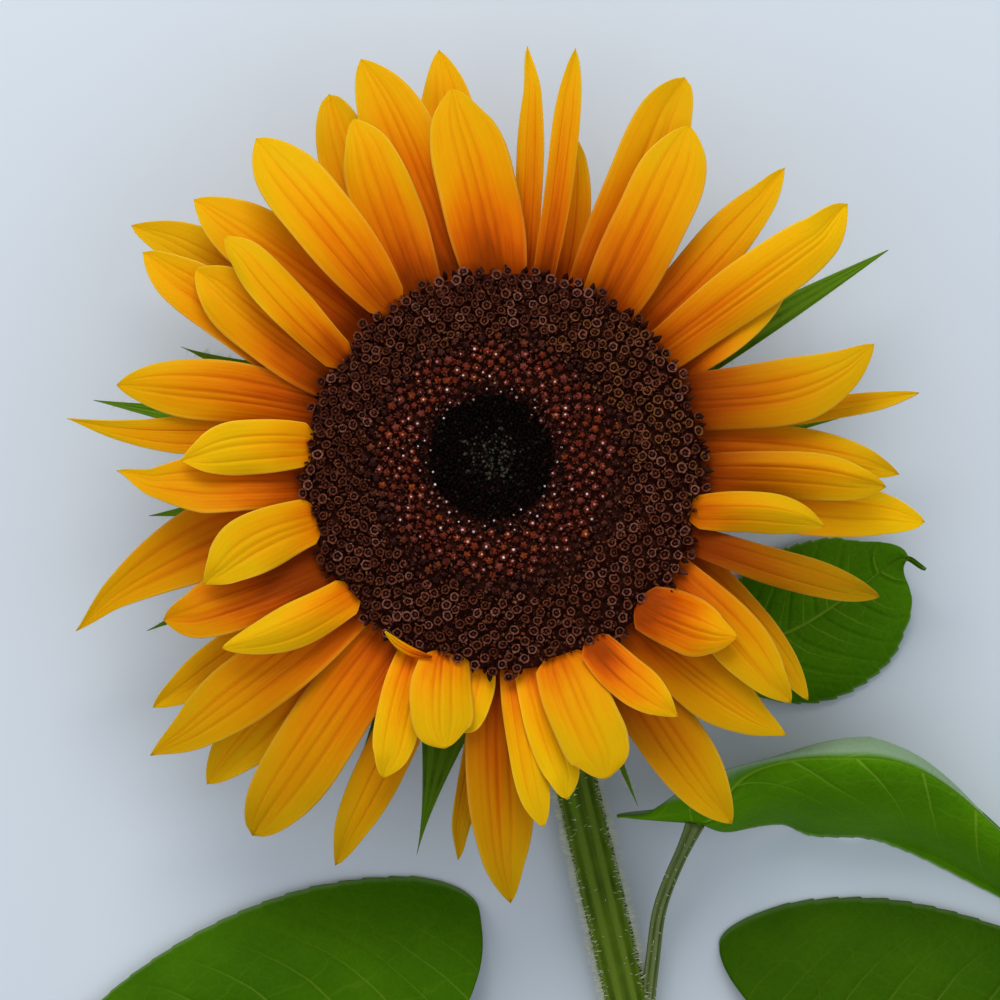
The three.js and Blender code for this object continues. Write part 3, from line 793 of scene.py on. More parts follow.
def makeOpenFlorets(radius, clock, size, chance):
    # Open florets are short tubes whose five lobes curl outwards round a dark throat and a style
    profile = [(0.62, 0.0), (0.76, 1.0), (0.98, 1.6), (1.13, 1.86), (1.0, 2.02), (0.78, 1.65), (0.5, 0.8)]
    profile += [(0.34, 0.9), (0.26, 1.7), (0.1, 1.9)]
    points, faces = lobedForm("openFloret", profile, 0.05, 1.1, 1.7)
    many, seat = len(radius), discSeats["open"]
    spots, turns = floretSpots(seat, radius, clock, chance)
    squash = chance.uniform(-0.09, 0.09, many)
    turns[:, :, 0] *= (1 + squash)[:, None]
    turns[:, :, 1] *= (1 - squash)[:, None]
    spots[:, 2] += chance.uniform(*seat["rise"], many)
    low, high = discLook["goldenSide"]
    golden = smoothStep(low - 20, low + 8, clock % 360) * (1 - smoothStep(high - 8, high + 20, clock % 360))
    # Painted light: lips are dealt paler and rosier towards the lit side, and darker away from it
    lit = 0.6 + 0.5 * np.cos(np.radians(clock - discLook["litSide"]))
    draw = chance.random(many)
    groups = np.where(draw < 0.04 + 0.2 * lit, 3, np.where(draw < 0.15 + 0.5 * lit, 2, 0))
    groups = np.where((groups == 0) & (chance.random(many) < 0.7 - 0.5 * lit), 1, groups)
    groups = np.where(chance.random(many) < golden * 0.5, 4, groups)
    sizes = size * chance.uniform(*seat["size"], many)
    ragged = chance.normal(0, 1, (many, len(points), 3))
    ragged *= (discLook["raggedLip"] * smoothStep(1.0, 1.8, points[:, 2]))[:, None]
    piece = arrayPiece("openFlorets", (points, faces), spots, turns, sizes, ragged)
    # Only the lips take the drawn groups: style, throat and wall have colours of their own
    height = np.array([np.mean([points[i][2] for i in face]) for face in faces])
    width = np.array([np.mean([np.hypot(*points[i][:2]) for i in face]) for face in faces])
    wall = height < 1.5
    part = np.select([(width < 0.4) & (height > 1.2), wall & (width < 0.72), wall], [7, 6, 5], 0)
    paintGroups(
        piece,
        np.where(part > 0, part, groups[:, None]).ravel(),
        ("floretLipBrown", (0.11, 0.029, 0.013), 0.7),
        ("floretLipDark", (0.07, 0.0165, 0.0085), 0.7),
        ("floretLipRose", (0.15, 0.044, 0.025), 0.65),
        ("floretLipPale", (0.19, 0.07, 0.047), 0.65),
        ("floretLipGolden", (0.155, 0.054, 0.015), 0.7),
        ("floretWall", (0.085, 0.024, 0.014), 0.8),
        ("floretThroat", (0.042, 0.0105, 0.006), 0.8),
        ("floretStyle", (0.12, 0.033, 0.016), 0.7),
    )


def makeClosedFlorets(name, radius, clock, size, chance, shares, looks, tall=1.0):
    # Closed florets are pointed buds with five ridges; returns the places of their tips
    profile = [(0.85, 0.0), (1.1, 0.8), (1.0, 1.35), (0.72, 1.85), (0.28, 2.2)]
    points, faces = lobedForm("closedFloret", profile, 0.2, 0.4, 1.2)
    points[:, 2] *= tall
    many, seat = len(radius), discSeats["closed"]
    spots, turns = floretSpots(seat, radius, clock, chance)
    spots[:, 2] += chance.uniform(*seat["rise"], many)
    groups = chance.choice(len(shares), many, p=shares)
    sizes = size * chance.uniform(*seat["size"], many)
    ragged = chance.normal(0, 0.07, (many, len(points), 3))
    piece = arrayPiece(name, (points, faces), spots, turns, sizes, ragged)
    low = [np.mean([points[i][2] for i in face]) < 1.2 * tall for face in faces]
    paintGroups(piece, np.where(low, len(shares), groups[:, None]).ravel(), *looks)
    return spots + 2.1 * sizes[:, None] * turns[:, :, 2]


def underFrontPetal(clock):
    # True where a front petal's foot lies over the disc's rim
    covered = np.zeros(len(clock), bool)
    for petal in petals:
        if petal["layer"] == 0 and petal.get("level", 0) <= 0:
            foot = petal["width"] * petal.get("base", petalLayers[0]["foot"]) / 2
            apart = (clock - petal["foot"] + 180) % 360 - 180
            covered |= np.abs(apart) < math.degrees(foot / head["discRadius"]) + 1.6
    return covered


def makeFlorets(chance):
    radius, clock = spiralPlaces(head["discRadius"] + 0.4, discLook["innerRoom"], discLook["outerRoom"])
    seen = (radius < head["discRadius"] - 2.2) | ~underFrontPetal(clock)
    radius, clock = radius[seen], clock[seen]
    size = 0.66 + 0.34 * radius / head["discRadius"]
    edges = [discLook[key] for key in ("heartRadius", "gloomRadius", "redRadius", "beltRadius")]
    zones = np.digitize(radius + chance.normal(0, 0.5, len(radius)), edges)
    belts = [(radius[zones == zone], clock[zones == zone], size[zones == zone]) for zone in (1, 2, 3, 4)]
    gloom, red, opening, ring = belts
    makeOpenFlorets(ring[0], ring[1], ring[2] * 1.02, chance)
    makeClosedFlorets("openingFlorets", *opening, chance, [0.6, 0.28, 0.12], [
        ("budMaroon", (0.03, 0.008, 0.006), 0.6),
        ("budBrown", (0.07, 0.02, 0.012), 0.6),
        ("budRust", (0.12, 0.028, 0.01), 0.6),
        ("openingSide", (0.02, 0.005, 0.004), 0.8),
    ])
    redTips = makeClosedFlorets("closedFlorets", *red, chance, [0.38, 0.28, 0.14, 0.2], [
        ("budRedBrown", (0.16, 0.024, 0.01), 0.7),
        ("budDarkRed", (0.08, 0.013, 0.007), 0.7),
        ("budOrangeRed", (0.22, 0.038, 0.009), 0.7),
        ("budRose", (0.17, 0.034, 0.022), 0.7),
        ("closedSide", (0.05, 0.0085, 0.005), 0.8),
    ])
    gloomTips = makeClosedFlorets("heartEdgeBuds", *gloom, chance, [0.8, 0.2], [
        ("budBlack", (0.01, 0.004, 0.004), 0.6),
        ("budDusk", (0.06, 0.014, 0.01), 0.6),
        ("heartEdgeSide", (0.008, 0.003, 0.003), 0.8),
    ], tall=0.85)
    print("disc florets made:", len(radius))
    return redTips, gloomTips


def makeChaff(chance):
    # Small dry scales stand between the florets
    radius, clock = spiralPlaces(head["discRadius"] - 1.6, discLook["chaffRoom"], discLook["chaffRoom"])
    outside = radius > discLook["heartRadius"] + 0.5
    radius, clock = radius[outside], clock[outside] + 0.5 * discLook["goldenAngle"]
    many, seat = len(radius), discSeats["chaff"]
    profile = [(0.32, 0.0), (0.4, 0.8), (0.3, 1.5), (0.06, 2.0)]
    points, faces = takeForm(turnedForm("chaffScale", profile, 5))
    points[:, 1] *= 0.6
    spots, turns = floretSpots(seat, radius, clock, chance)
    spots[:, 2] += chance.uniform(*seat["rise"], many)
    ragged = chance.normal(0, 0.05, (many, len(points), 3))
    groups = np.digitize(chance.random(many), [0.45, 0.75, 0.9])
    red = (radius > discLook["gloomRadius"]) & (radius < discLook["redRadius"])
    groups = np.where(red & (groups > 1), 4, groups)
    groups = np.where(radius < discLook["gloomRadius"], 0, groups)
    sizes = chance.uniform(*seat["size"], many)
    paintGroups(
        arrayPiece("chaffScales", (points, faces), spots, turns, sizes, ragged),
        groups,
        ("chaffMaroon", (0.08, 0.02, 0.013), 0.8),
        ("chaffBrown", (0.13, 0.038, 0.022), 0.8),
        ("chaffRust", (0.15, 0.036, 0.012), 0.8),
        ("chaffOchre", (0.2, 0.075, 0.026), 0.8),
        ("chaffRed", (0.17, 0.026, 0.01), 0.8),
    )


def makeHeart(chance):
    # The heart's scales are finer than the florets round them
    room = discLook["heartRoom"]
    radius, clock = spiralPlaces(discLook["heartRadius"] + 0.4, room, room)
    many, seat = len(radius), discSeats["heart"]
    scale = takeForm(turnedForm("heartScale", [(0.42, 0.0), (0.42, 0.9), (0.26, 1.5), (0.06, 1.9)], 6))
    spots, turns = floretSpots(seat, radius, clock, chance)
    spots[:, 2] += chance.uniform(*seat["rise"], many)
    middle = 1 - smoothStep(1.0, 9.5, radius)
    pale = chance.random(many) < 0.5 * middle**1.5
    faint = chance.random(many) < 0.1 + 0.5 * middle
    paintGroups(
        arrayPiece("heartScales", scale, spots, turns, chance.uniform(*seat["size"], many)),
        np.select([pale, faint], [1, 2], 0),
        ("heartBlack", (0.004, 0.0025, 0.002), 0.7),
        ("heartGrey", (0.045, 0.045, 0.03), 0.6),
        ("heartDusk", (0.013, 0.011, 0.008), 0.6),
    )
    print("heart scales made:", many)


def makeGrains(redTips, gloomTips, chance):
    # Pale grains on the tips of the closed florets
    bpy.ops.mesh.primitive_ico_sphere_add(subdivisions=1, radius=0.33 * millimetre)
    grain = takeForm(bpy.context.object)
    gloomTips = gloomTips[chance.random(len(gloomTips)) < 0.8]
    redTips = redTips[chance.random(len(redTips)) < 0.55]
    tips = np.concatenate([gloomTips, redTips])
    many = len(tips)
    groups = chance.choice(3, many, p=[0.45, 0.35, 0.2])
    upright = np.tile(np.eye(3), (many, 1, 1))
    paintGroups(
        arrayPiece("paleGrains", grain, tips, upright, chance.uniform(0.6, 1.1, many)),
        groups,
        ("grainWhite", (0.62, 0.5, 0.5), 0.4),
        ("grainPink", (0.42, 0.2, 0.19), 0.4),
        ("grainTan", (0.4, 0.22, 0.12), 0.4),
    )


def makeRimScales(chance):
    # Dark pointed scales round the rim, between the petals' feet: fewer at the bottom, larger at the right
    scale = takeForm(turnedForm("rimScale", [(0.7, 0.0), (0.85, 1.0), (0.55, 2.2), (0.08, 3.4)], 6))
    many = discLook["rimScales"]
    clock = np.arange(many) * 360 / many + chance.normal(0, 1.0, many)
    bottom = np.cos(np.radians(clock - 185)) > 0.75
    clock = clock[~underFrontPetal(clock) & (~bottom | (chance.random(many) < 0.4))]
    many = len(clock)
    right = 0.5 + 0.5 * np.cos(np.radians(clock - 95))
    x, y = polar(clock, head["discRadius"] - 0.3 + chance.uniform(-0.5, 0.7, many))
    spots = np.column_stack([x, y, head["top"] - 3.0 + chance.uniform(-0.6, 0.5, many)])
    outward = np.column_stack([x, y, np.full(many, 50.0)]) + chance.normal(0, 6, (many, 3))
    turns = turnsTo(outward, chance.uniform(0, 6, many))
    sizes = chance.uniform(0.4, 0.8, many) + 0.25 * right
    paintGroups(
        arrayPiece("rimScales", scale, spots, turns, sizes),
        chance.choice(2, many, p=[0.6, 0.4]),
        ("rimMaroon", (0.022, 0.006, 0.004), 0.6),
        ("rimBrown", (0.07, 0.018, 0.008), 0.55),
    )


def makeDisc():
    makeDiscDome()
    chance = np.random.default_rng(head["seed"] + 1)
    redTips, gloomTips = makeFlorets(chance)
    makeChaff(chance)
    makeHeart(chance)
    makeGrains(redTips, gloomTips, chance)
    makeRimScales(chance)


# Stem and neck
stemLook = {
    "lean": 13.2,  # degrees from the picture's upright, to the right at the cut end
    "length": 196.0,  # from the middle of the head to the cut end
    "radius": 5.1,
    "neckRadius": 4.9,
    "bend": 20.5,  # radius of the bend that turns the head up
    "neckTop": 26.7,  # height at which the neck enters the back of the head
    "flare": 6.6,  # radius there
    "ribs": 7,
    "ribDepth": 0.12,
    "columns": 96,
    "rows": 220,
    "bristles": 8200,  # before those that would enter the floor are left out
    "fringe": 0.32,  # radians by which the bristles stray from the stem's two sides
    "bristleLength": (0.6, 2.2),
}


def stemLine(share):
    # Points of the stem's centreline, from the cut end (0) to the head (1)
    straight = stemLook["length"] - stemLook["bend"]
    bend = math.pi / 2 * stemLook["bend"]
    rise = stemLook["neckTop"] - stemLook["bend"] - stemLook["radius"]
    way = share * (straight + bend + rise)
    angle = np.clip((way - straight) / stemLook["bend"], 0, math.pi / 2)
    distance = np.where(way < straight, stemLook["length"] - way, stemLook["bend"] * (1 - np.sin(angle)))
    height = stemLook["radius"] + stemLook["bend"] * (1 - np.cos(angle))
    height = height + np.clip(way - straight - bend, 0, None)
    lean = math.radians(stemLook["lean"])
    return np.column_stack([distance * math.sin(lean), -distance * math.cos(lean), height])


def stemRadius(angle, share):
    base = stemLook["radius"] + (stemLook["neckRadius"] - stemLook["radius"]) * np.clip(share / 0.85, 0, 1)
    base = base + (stemLook["flare"] - stemLook["neckRadius"]) * np.clip((share - 0.88) / 0.12, 0, 1) ** 1.5
    twist = 0.8 * np.sin(share * 5)
    count = stemLook["ribs"]
    ribs = np.cos(count * angle + twist) + 0.5 * np.cos(count * 2.0 * angle - 2 * share)
    return base + stemLook["ribDepth"] * ribs - 0.15


def tubeShape(line, radiusAt):
    # shape(across, along) that rolls a grid into a tube round line(share), with radiusAt(angle, share)
    def shape(across, along):
        forward = unit(line(np.clip(along + 0.002, 0, 1)) - line(np.clip(along - 0.002, 0, 1)))
        side = np.cross(forward, np.array([[0.0, 0.0, 1.0]]))
        lean = math.radians(stemLook["lean"])
        side[np.linalg.norm(side, axis=1) < 0.05] = [-math.cos(lean), -math.sin(lean), 0]
        side = unit(side)
        over = np.cross(side, forward)
        angle = across * np.pi
        arm = side * np.cos(angle)[:, None] + over * np.sin(angle)[:, None]
        return line(along) + arm * radiusAt(angle, along)[:, None]

    return shape


# Each green has its dark, mid and pale tissue, its roughness, how fine its mottling is and how many fibres
# it has across
greens = {
    "stemGreen": ((0.035, 0.07, 0.002), (0.07, 0.125, 0.003), (0.12, 0.18, 0.015), 0.6, 120.0, 9.0),
    "headBackGreen": ((0.06, 0.12, 0.02), (0.13, 0.2, 0.05), (0.25, 0.3, 0.12), 0.6, 110.0, 0.0),
    "bractGreen": ((0.045, 0.12, 0.001), (0.08, 0.19, 0.002), (0.115, 0.23, 0.008), 0.6, 160.0, 3.0),
    "stalkGreen": ((0.035, 0.06, 0.008), (0.08, 0.12, 0.02), (0.16, 0.2, 0.07), 0.55, 140.0, 6.0),
}


def greenMaterial(name):
    # Green tissue: mottled between dark and mid, paler along its fibres
    dark, mid, pale, roughness, patch, lines = greens[name]
    material, tree, sockets = newMaterial(name, roughness, 0.06)
    tissue = placeGroup(tree, tissueGroup, Patch=patch, Cell=900.0)
    color = addRamp(tissue["Mottle"], [(0.32, dark), (0.62, mid)])
    height = tissue["Cells"]
    if lines:
        uvMap = addNode(tree, "UVMap", uv_map="UVMap")
        fibres = placeGroup(tree, fibreGroup, Map=uvMap, Lines=lines, Wander=0.1)
        mask = addRamp(fibres["Height"], [(0.5, (0, 0, 0)), (0.95, (1, 1, 1))])
        color = mixColor(mask, color, pale)
        height = height + fibres["Height"] * 2.0
    plug(sockets["Base Color"], color)
    addBump(sockets, height, 0.4, 0.2)
    return material


def hairMaterial():
    material, tree, sockets = newMaterial("paleHair", 0.45, 0.3)
    tissue = placeGroup(tree, tissueGroup, Patch=300.0, Cell=900.0)
    color = addRamp(tissue["Mottle"], [(0.3, (0.6, 0.62, 0.45)), (0.7, (0.85, 0.86, 0.7))])
    plug(sockets["Base Color"], color)
    return material


def makeHairs(name, spots, directions, lengths, material, slotName):
    # Fine tapering hairs: the form is one millimetre high, and only its height is stretched
    points, faces = takeForm(turnedForm("hair", [(0.065, 0.0), (0.05, 0.5), (0.012, 1.0)], 4))
    turns = turnsTo(directions, np.zeros(len(spots)))
    copies = np.einsum("kij,nj->kni", turns, points * [[1, 1, 0]])
    copies += turns[:, None, :, 2] * points[None, :, 2:3] * lengths[:, None, None]
    finishPiece(joinedPiece(name, copies + spots[:, None, :], faces), material, slotName)


def makeTubeHairs(name, tube, angle, share, sink, clearance, span, chance, material, slotName):
    # Hairs that stand out of a tube (its line and radiusAt), left out where they would enter the floor
    line, radiusAt = tube
    surface = tubeShape(line, radiusAt)(angle / np.pi, share)
    outward = unit(surface - line(share))
    keep = surface[:, 2] + outward[:, 2] * clearance[0] > clearance[1]
    directions = outward + chance.normal(0, 0.25, outward.shape)
    lengths = chance.uniform(*span, len(share))
    makeHairs(name, (surface - outward * sink)[keep], directions[keep], lengths[keep], material, slotName)
    return int(keep.sum())


def makeStem(hairLook):
    stem = gridPiece("ribbedStem", stemLook["columns"], stemLook["rows"], tubeShape(stemLine, stemRadius))
    closeEnds(stem)
    finishPiece(stem, greenMaterial("stemGreen"), "stem", "stem")
    chance = np.random.default_rng(head["seed"] + 2)
    count = stemLook["bristles"]
    share = chance.uniform(0.01, 0.97, count)
    # Most bristles stand at the stem's two sides, where they show as a fringe
    fringe = np.where(chance.random(count) < 0.5, 0.0, np.pi) + chance.normal(0, stemLook["fringe"], count)
    angle = np.where(chance.random(count) < 0.97, fringe, chance.uniform(-np.pi, np.pi, count))
    angle = (angle + np.pi) % (2 * np.pi) - np.pi
    made = makeTubeHairs("stemBristles", (stemLine, stemRadius), angle, share, 0.1, (1.6, 0.6),
                         stemLook["bristleLength"], chance, hairLook, "stem")
    print("stem made, bristles:", made)


# Receptacle and bracts
bractLook = {
    "root": 38.0,  # distance from the middle of the head at which bracts start, and their height there
    "height": 34.6,
    "fall": 0.16,  # how steeply a level bract leaves the rim, and how it droops
    "droop": 0.0016,
    "keel": 0.35,
    "thickness": 0.55,
    "columns": 8,
    "rows": 26,
    "bentSpread": 20.0,  # how far bent bracts reach beyond the head's back, and the height of their tips
    "bentTip": 0.7,
    "bodyRadius": 44.0,
    "hairs": 60,  # for each bract
}


def bractAt(clock, reach, width, taper=1.2, bent=False):
    return {"clock": clock, "reach": reach, "width": width, "taper": taper, "bent": bent}


# Ten long bracts that show between the petals, six short ones below them, and four that are bent back
bracts = [
    bractAt(60, 99.4, 9.4, 1.1),
    bractAt(80, 85.4, 9),
    bractAt(158, 80.2, 4.4),
    bractAt(168, 81.4, 4.4),
    bractAt(192.7, 87.5, 21, 1.8),
    bractAt(205.5, 84.5, 13, 1.8),
    bractAt(246, 86.9, 11, 1.3),
    bractAt(263, 79.4, 9),
    bractAt(280, 92.8, 9),
    bractAt(291.3, 77, 15, 1.6),
]
bracts += [bractAt(clock, 66, 12) for clock in (100, 119, 138, 224, 326, 358)]
bentReach = bractLook["bodyRadius"] + bractLook["bentSpread"]
bracts += [bractAt(clock, bentReach, 13, bent=True) for clock in (20, 46, 312, 340)]


def bractShape(bract):
    # A pointed bract: nearly level from the rim, or bent back until its tip lies on the surface
    corners = np.array([
        (bractLook["root"], bractLook["height"]),
        (bractLook["bodyRadius"] + 12, bractLook["height"] - 2),
        (bract["reach"] - 8, 7.1),
        (bract["reach"], bractLook["bentTip"]),
    ])

    def shape(across, along):
        if bract["bent"]:
            t = along[:, None]
            path = (1 - t) ** 3 * corners[0] + 3 * (1 - t) ** 2 * t * corners[1]
            path = path + 3 * (1 - t) * t**2 * corners[2] + t**3 * corners[3]
            distance, height = path[:, 0], path[:, 1]
        else:
            distance = bractLook["root"] + (bract["reach"] - bractLook["root"]) * along
            out = np.clip(distance - bractLook["bodyRadius"], 0, None)
            height = bractLook["height"] - bractLook["fall"] * out - bractLook["droop"] * out**2
        half = bract["width"] / 2 * ((1 - 0.985 * along) ** bract["taper"] * (1 + 0.75 * along))
        x, y = polar(bract["clock"], distance)
        sideX, sideY = polar(bract["clock"] + 90, across * half)
        keel = -bractLook["keel"] * np.exp(-((across / 0.14) ** 2)) + 0.05 * np.cos(2 * np.pi * 3 * across)
        height = height + keel * np.sin(np.pi * np.clip(along + 0.05, 0, 1)) + 0.08 * across**2 * half
        return np.column_stack([x + sideX, y + sideY, height - 0.3])

    return shape


def makeHeadBack():
    profile = [(6.4, 26.3), (7.5, 26.7), (10, 27.6), (20, 30), (34, 32.4), (42, 34), (44, 35.5)]
    profile += [(44, head["top"] - 12.3)]
    bowl = turnedForm("headBack", profile, 96)
    points = getPoints(bowl) / millimetre
    points[:, 2] += profile[0][1]
    angle = np.arctan2(points[:, 1], points[:, 0])
    folds = 0.35 * np.cos(26 * angle) * np.clip((np.hypot(points[:, 0], points[:, 1]) - 12) / 30, 0, 1)
    points[:, 2] += np.where(points[:, 2] < 34, folds, 0)
    setPoints(bowl, points)
    closeEnds(bowl)
    finishPiece(bowl, greenMaterial("headBackGreen"), "receptacle", "receptacle")


def makeBracts(hairLook):
    green = greenMaterial("bractGreen")
    chance = np.random.default_rng(head["seed"] + 3)
    spots, directions = [], []
    for number, bract in enumerate(bracts, 1):
        shape = bractShape(bract)
        piece = gridPiece(f"bract_{number:02d}", bractLook["columns"], bractLook["rows"], shape)
        thicken(piece, bractLook["thickness"])
        finishPiece(piece, green, "receptacle")
        along = chance.uniform(0.1, 0.97, bractLook["hairs"])
        side = np.where(chance.random(bractLook["hairs"]) < 0.5, -1.0, 1.0)
        edge = shape(side, along)
        outward = edge - shape(side * 0.6, along)
        outward /= np.maximum(np.linalg.norm(outward, axis=1)[:, None], 1e-6)
        keep = edge[:, 2] > 1.5
        spots.append(edge[keep])
        directions.append((outward + chance.normal(0, 0.3, outward.shape))[keep])
    spots, directions = np.concatenate(spots), np.concatenate(directions)
    makeHairs("bractHairs", spots, directions, chance.uniform(0.5, 1.5, len(spots)), hairLook, "receptacle")
    print("head back made, bracts:", len(bracts))


# Leaves
leafLook = {
    "thickness": 0.6,
    "columns": 92,
    "rows": 200,
    "relief": 0.45,
    "notch": 0.012,  # depth of the teeth, as a share of the width
    "veins": 7,
    "stretch": 1.25,  # rows of points crowd towards the leaf's foot
    "sweep": 0.38,  # how far side veins sweep towards the tip
    "veinStart": 0.015,  # where the first side vein leaves the midrib, and the stretch that they cover
    "veinSpan": 0.86,
    "veinSpread": 1.15,
    "veinCurve": 1.25,
    "veinShift": 0.02,  # right-hand veins start this much further up
    "lowest": 0.75,  # no point of a blade lies lower
    "petioleRadius": 1.5,
    "petioleGrid": (32, 60),
    "petioleHairs": 90,
    "hairLength": (0.5, 1.3),
}


def side(width, drop, lobe, grow, **more):
    return {"width": width, "drop": drop, "lobe": lobe, "grow": grow, **more}


# Lines run through the stalk and the midrib. Each side has its width, how far it droops, the length of its
# lobe at the foot and the share of the midrib over which it grows; point and nib shape its tip. Each leaf's
# tone is its brightness, with painted light and shade in it.
leaves = [
    {
        "node": "leaf_upper_right",
        "tone": 1.6,
        "petiole": [(11.5, -42.5, 5.2), (28, -43.5, 9.5), (42, -42.5, 9.5), (53, -40.5, 8.5)],
        "midrib": [(52, -41, 8.5), (68, -34, 9.5), (82, -24.5, 9), (89.5, -19.2, 10), (94.6, -21.6, 14)],
        "left": side(17.5, 7, 6, 0.3, start=0.2, point=2.6, nib=0.1),
        "right": side(19, 8, 6, 0.4, start=0.2, point=2.6, nib=0.1),
        "teeth": 17,
        "notch": 0.03,
        "veins": 6,
    },
    {
        "node": "leaf_right",
        "tone": 1.9,
        "skySheen": 0.8,
        "petiole": [(31.8, -127, 4.9), (33.6, -110, 6.5), (35.8, -96, 10), (43, -78.5, 17.5)],
        "midrib": [
            (42.5, -78.6, 17), (47, -77.6, 20), (51.5, -70.5, 24), (56.5, -66.5, 26), (65, -64, 28),
            (76, -63.4, 31), (86, -64, 31), (96, -68, 27), (110, -79, 19), (138, -107, 5),
        ],
        "smooth": 0.12,
        "left": side(4.8, 7, 15.5, 0.38, way=(-1, 0.0), start=1.6, point=0.75, nib=0.35, waist=0.85),
        "right": side(19.2, 30, 0, 0.42, start=-0.04, waist=-0.2),
        "teeth": 22,
    },
    {
        "node": "leaf_lower_right",
        "tone": 0.86,
        "petiole": [(39, -155.5, 4.9), (47, -149, 6.5), (56, -140, 7.5), (63, -132.5, 7.5)],
        "midrib": [(62, -131.5, 7.5), (90, -127.5, 9.5), (122, -127, 8), (154, -132, 4)],
        "left": side(33.7, 8.5, 9.6, 0.12, corner=0.75, round=0.5, straight=2, point=1.75),
        "right": side(29, 8.5, 9, 0.24, start=0.4),
        "teeth": 20,
    },
    {
        "node": "leaf_lower_left",
        "tone": 1.2,
        "petiole": [(34, -143.5, 4.9), (18, -139, 7.5), (4, -131.5, 8.5), (-11, -124.5, 8)],
        "midrib": [(-10, -124, 8), (-42, -124, 10), (-77, -130.5, 8), (-112, -144, 4)],
        "left": side(28, 8.5, 9, 0.26, start=0.4),
        "right": side(32.7, 8.5, 5.4, 0.12, corner=0.72, round=0.66, point=1.7),
        "teeth": 22,
    },
]


def smoothLine(points):
    # A line through named points by Catmull-Rom arcs, read by the share of its length
    points = np.array(points, float)
    padded = np.vstack([2 * points[0] - points[1], points, 2 * points[-1] - points[-2]])
    t = np.linspace(0, 1, 40, endpoint=False)[:, None]
    parts = []
    for a, b, c, d in zip(padded, padded[1:], padded[2:], padded[3:]):
        curve = (2 * a - 5 * b + 4 * c - d) * t**2 + (3 * b - a - 3 * c + d) * t**3
        parts.append(0.5 * (2 * b + (c - a) * t + curve))
    fine = np.vstack(parts + [points[-1:]])
    steps = np.concatenate([[0], np.cumsum(np.linalg.norm(np.diff(fine, axis=0), axis=1))])

    def line(share):
        return np.column_stack([np.interp(share * steps[-1], steps, fine[:, k]) for k in range(3)])

    return line


def sideShare(along, side):
    # Share of its full width that one side of a leaf has along its midrib
    start, grow, corner, nib = [side.get(key, 0.0) for key in ("start", "grow", "corner", "nib")]
    way = np.clip((along / grow + start) / (1 + start), 0, 1)
    grown = corner + (1 - corner) * np.sin(np.pi / 2 * way) ** (0.36 if corner else 0.7)
    taper = 1 - np.clip((along - grow) / (1 - nib - grow), 0, 1) ** side.get("point", 1.7)
    taper = taper * (1 - side.get("waist", 0.0) * np.exp(-(((along - 0.19) / 0.11) ** 2)))
    return np.maximum(grown * taper, 0.05 * nib**0.25 * (1 - along) ** 0.3)


def veinDepth(leaf, across, along):
    # 1 on a vein and 0 away from it: midrib, and side veins that sweep towards the tip
    reach = np.abs(across)
    depth = np.exp(-((reach / (0.03 * (1.2 - along))) ** 2))
    for number in range(leaf.get("veins", leafLook["veins"])):
        share = (number / leaf.get("veins", leafLook["veins"])) ** leafLook["veinSpread"]
        foot = leafLook["veinStart"] + leafLook["veinSpan"] * share
        start = foot + np.where(across > 0, leafLook["veinShift"], 0.0)
        width = 0.004 * (1.3 - reach) + 0.004
        bend = leafLook["sweep"] * (1 - foot) * reach ** leafLook["veinCurve"]
        side = np.exp(-(((along - start - bend) / width) ** 2))
        depth = np.maximum(depth, side * (0.8 - 0.5 * reach))
    return depth


def leafShape(leaf):
    line = smoothLine(leaf["midrib"])
    step = leaf.get("smooth", 0.01)

    def shape(across, along):
        along = along ** leafLook["stretch"]
        middle = line(along)
        forward = line(np.clip(along + step, 0, 1)) - line(np.clip(along - step, 0, 1))
        forward[:, 2] = 0
        forward = unit(forward)
        sideways = np.column_stack([forward[:, 1], -forward[:, 0], np.zeros(len(along))])
        spot = middle.copy()
        reach = np.abs(across)
        for right, side in ((False, leaf["left"]), (True, leaf["right"])):
            share = sideShare(along, side)
            saw = 1 - ((along * leaf["teeth"] + 0.5 * right) % 1.0)
            depth = leaf.get("notch", leafLook["notch"])
            notch = 1 - depth * saw * reach**6 * smoothStep(0.03, 0.15, along)
            width = across * side["width"] * share * notch
            back = np.sin(np.pi * side.get("round", 0.88) * reach) ** side.get("straight", 1)
            back = back * np.clip(1 - along / side["grow"], 0, 1) ** 1.5
            way = np.array([*side["way"], 0.0]) if "way" in side else -forward
            placed = middle + sideways * width[:, None] + way * (side["lobe"] * back)[:, None]
            placed[:, 2] = middle[:, 2] - side["drop"] * share * reach**1.8
            mine = (across >= 0) == right
            spot[mine] = placed[mine]
        # The blade bulges between its veins
        vein = veinDepth(leaf, across, along)
        quilt = np.sin(np.pi * np.clip(reach * 1.02, 0, 1)) * (1 - vein)
        wide = np.where(across < 0, leaf["left"]["width"], leaf["right"]["width"])
        relief = leafLook["relief"] * np.clip(wide / 15 - 0.3, 0, 1)
        spot[:, 2] += relief * (quilt - 0.9 * vein) * smoothStep(0, 0.08, 1 - along)
        spot[:, 2] = np.maximum(spot[:, 2], leafLook["lowest"])
        return spot

    return shape


def petioleRadius(angle, share):
    flare = 0.5 * np.clip((share - 0.78) / 0.22, 0, 1) ** 2
    return leafLook["petioleRadius"] * (1.12 - 0.15 * share + 0.06 * np.cos(5 * angle) + flare)


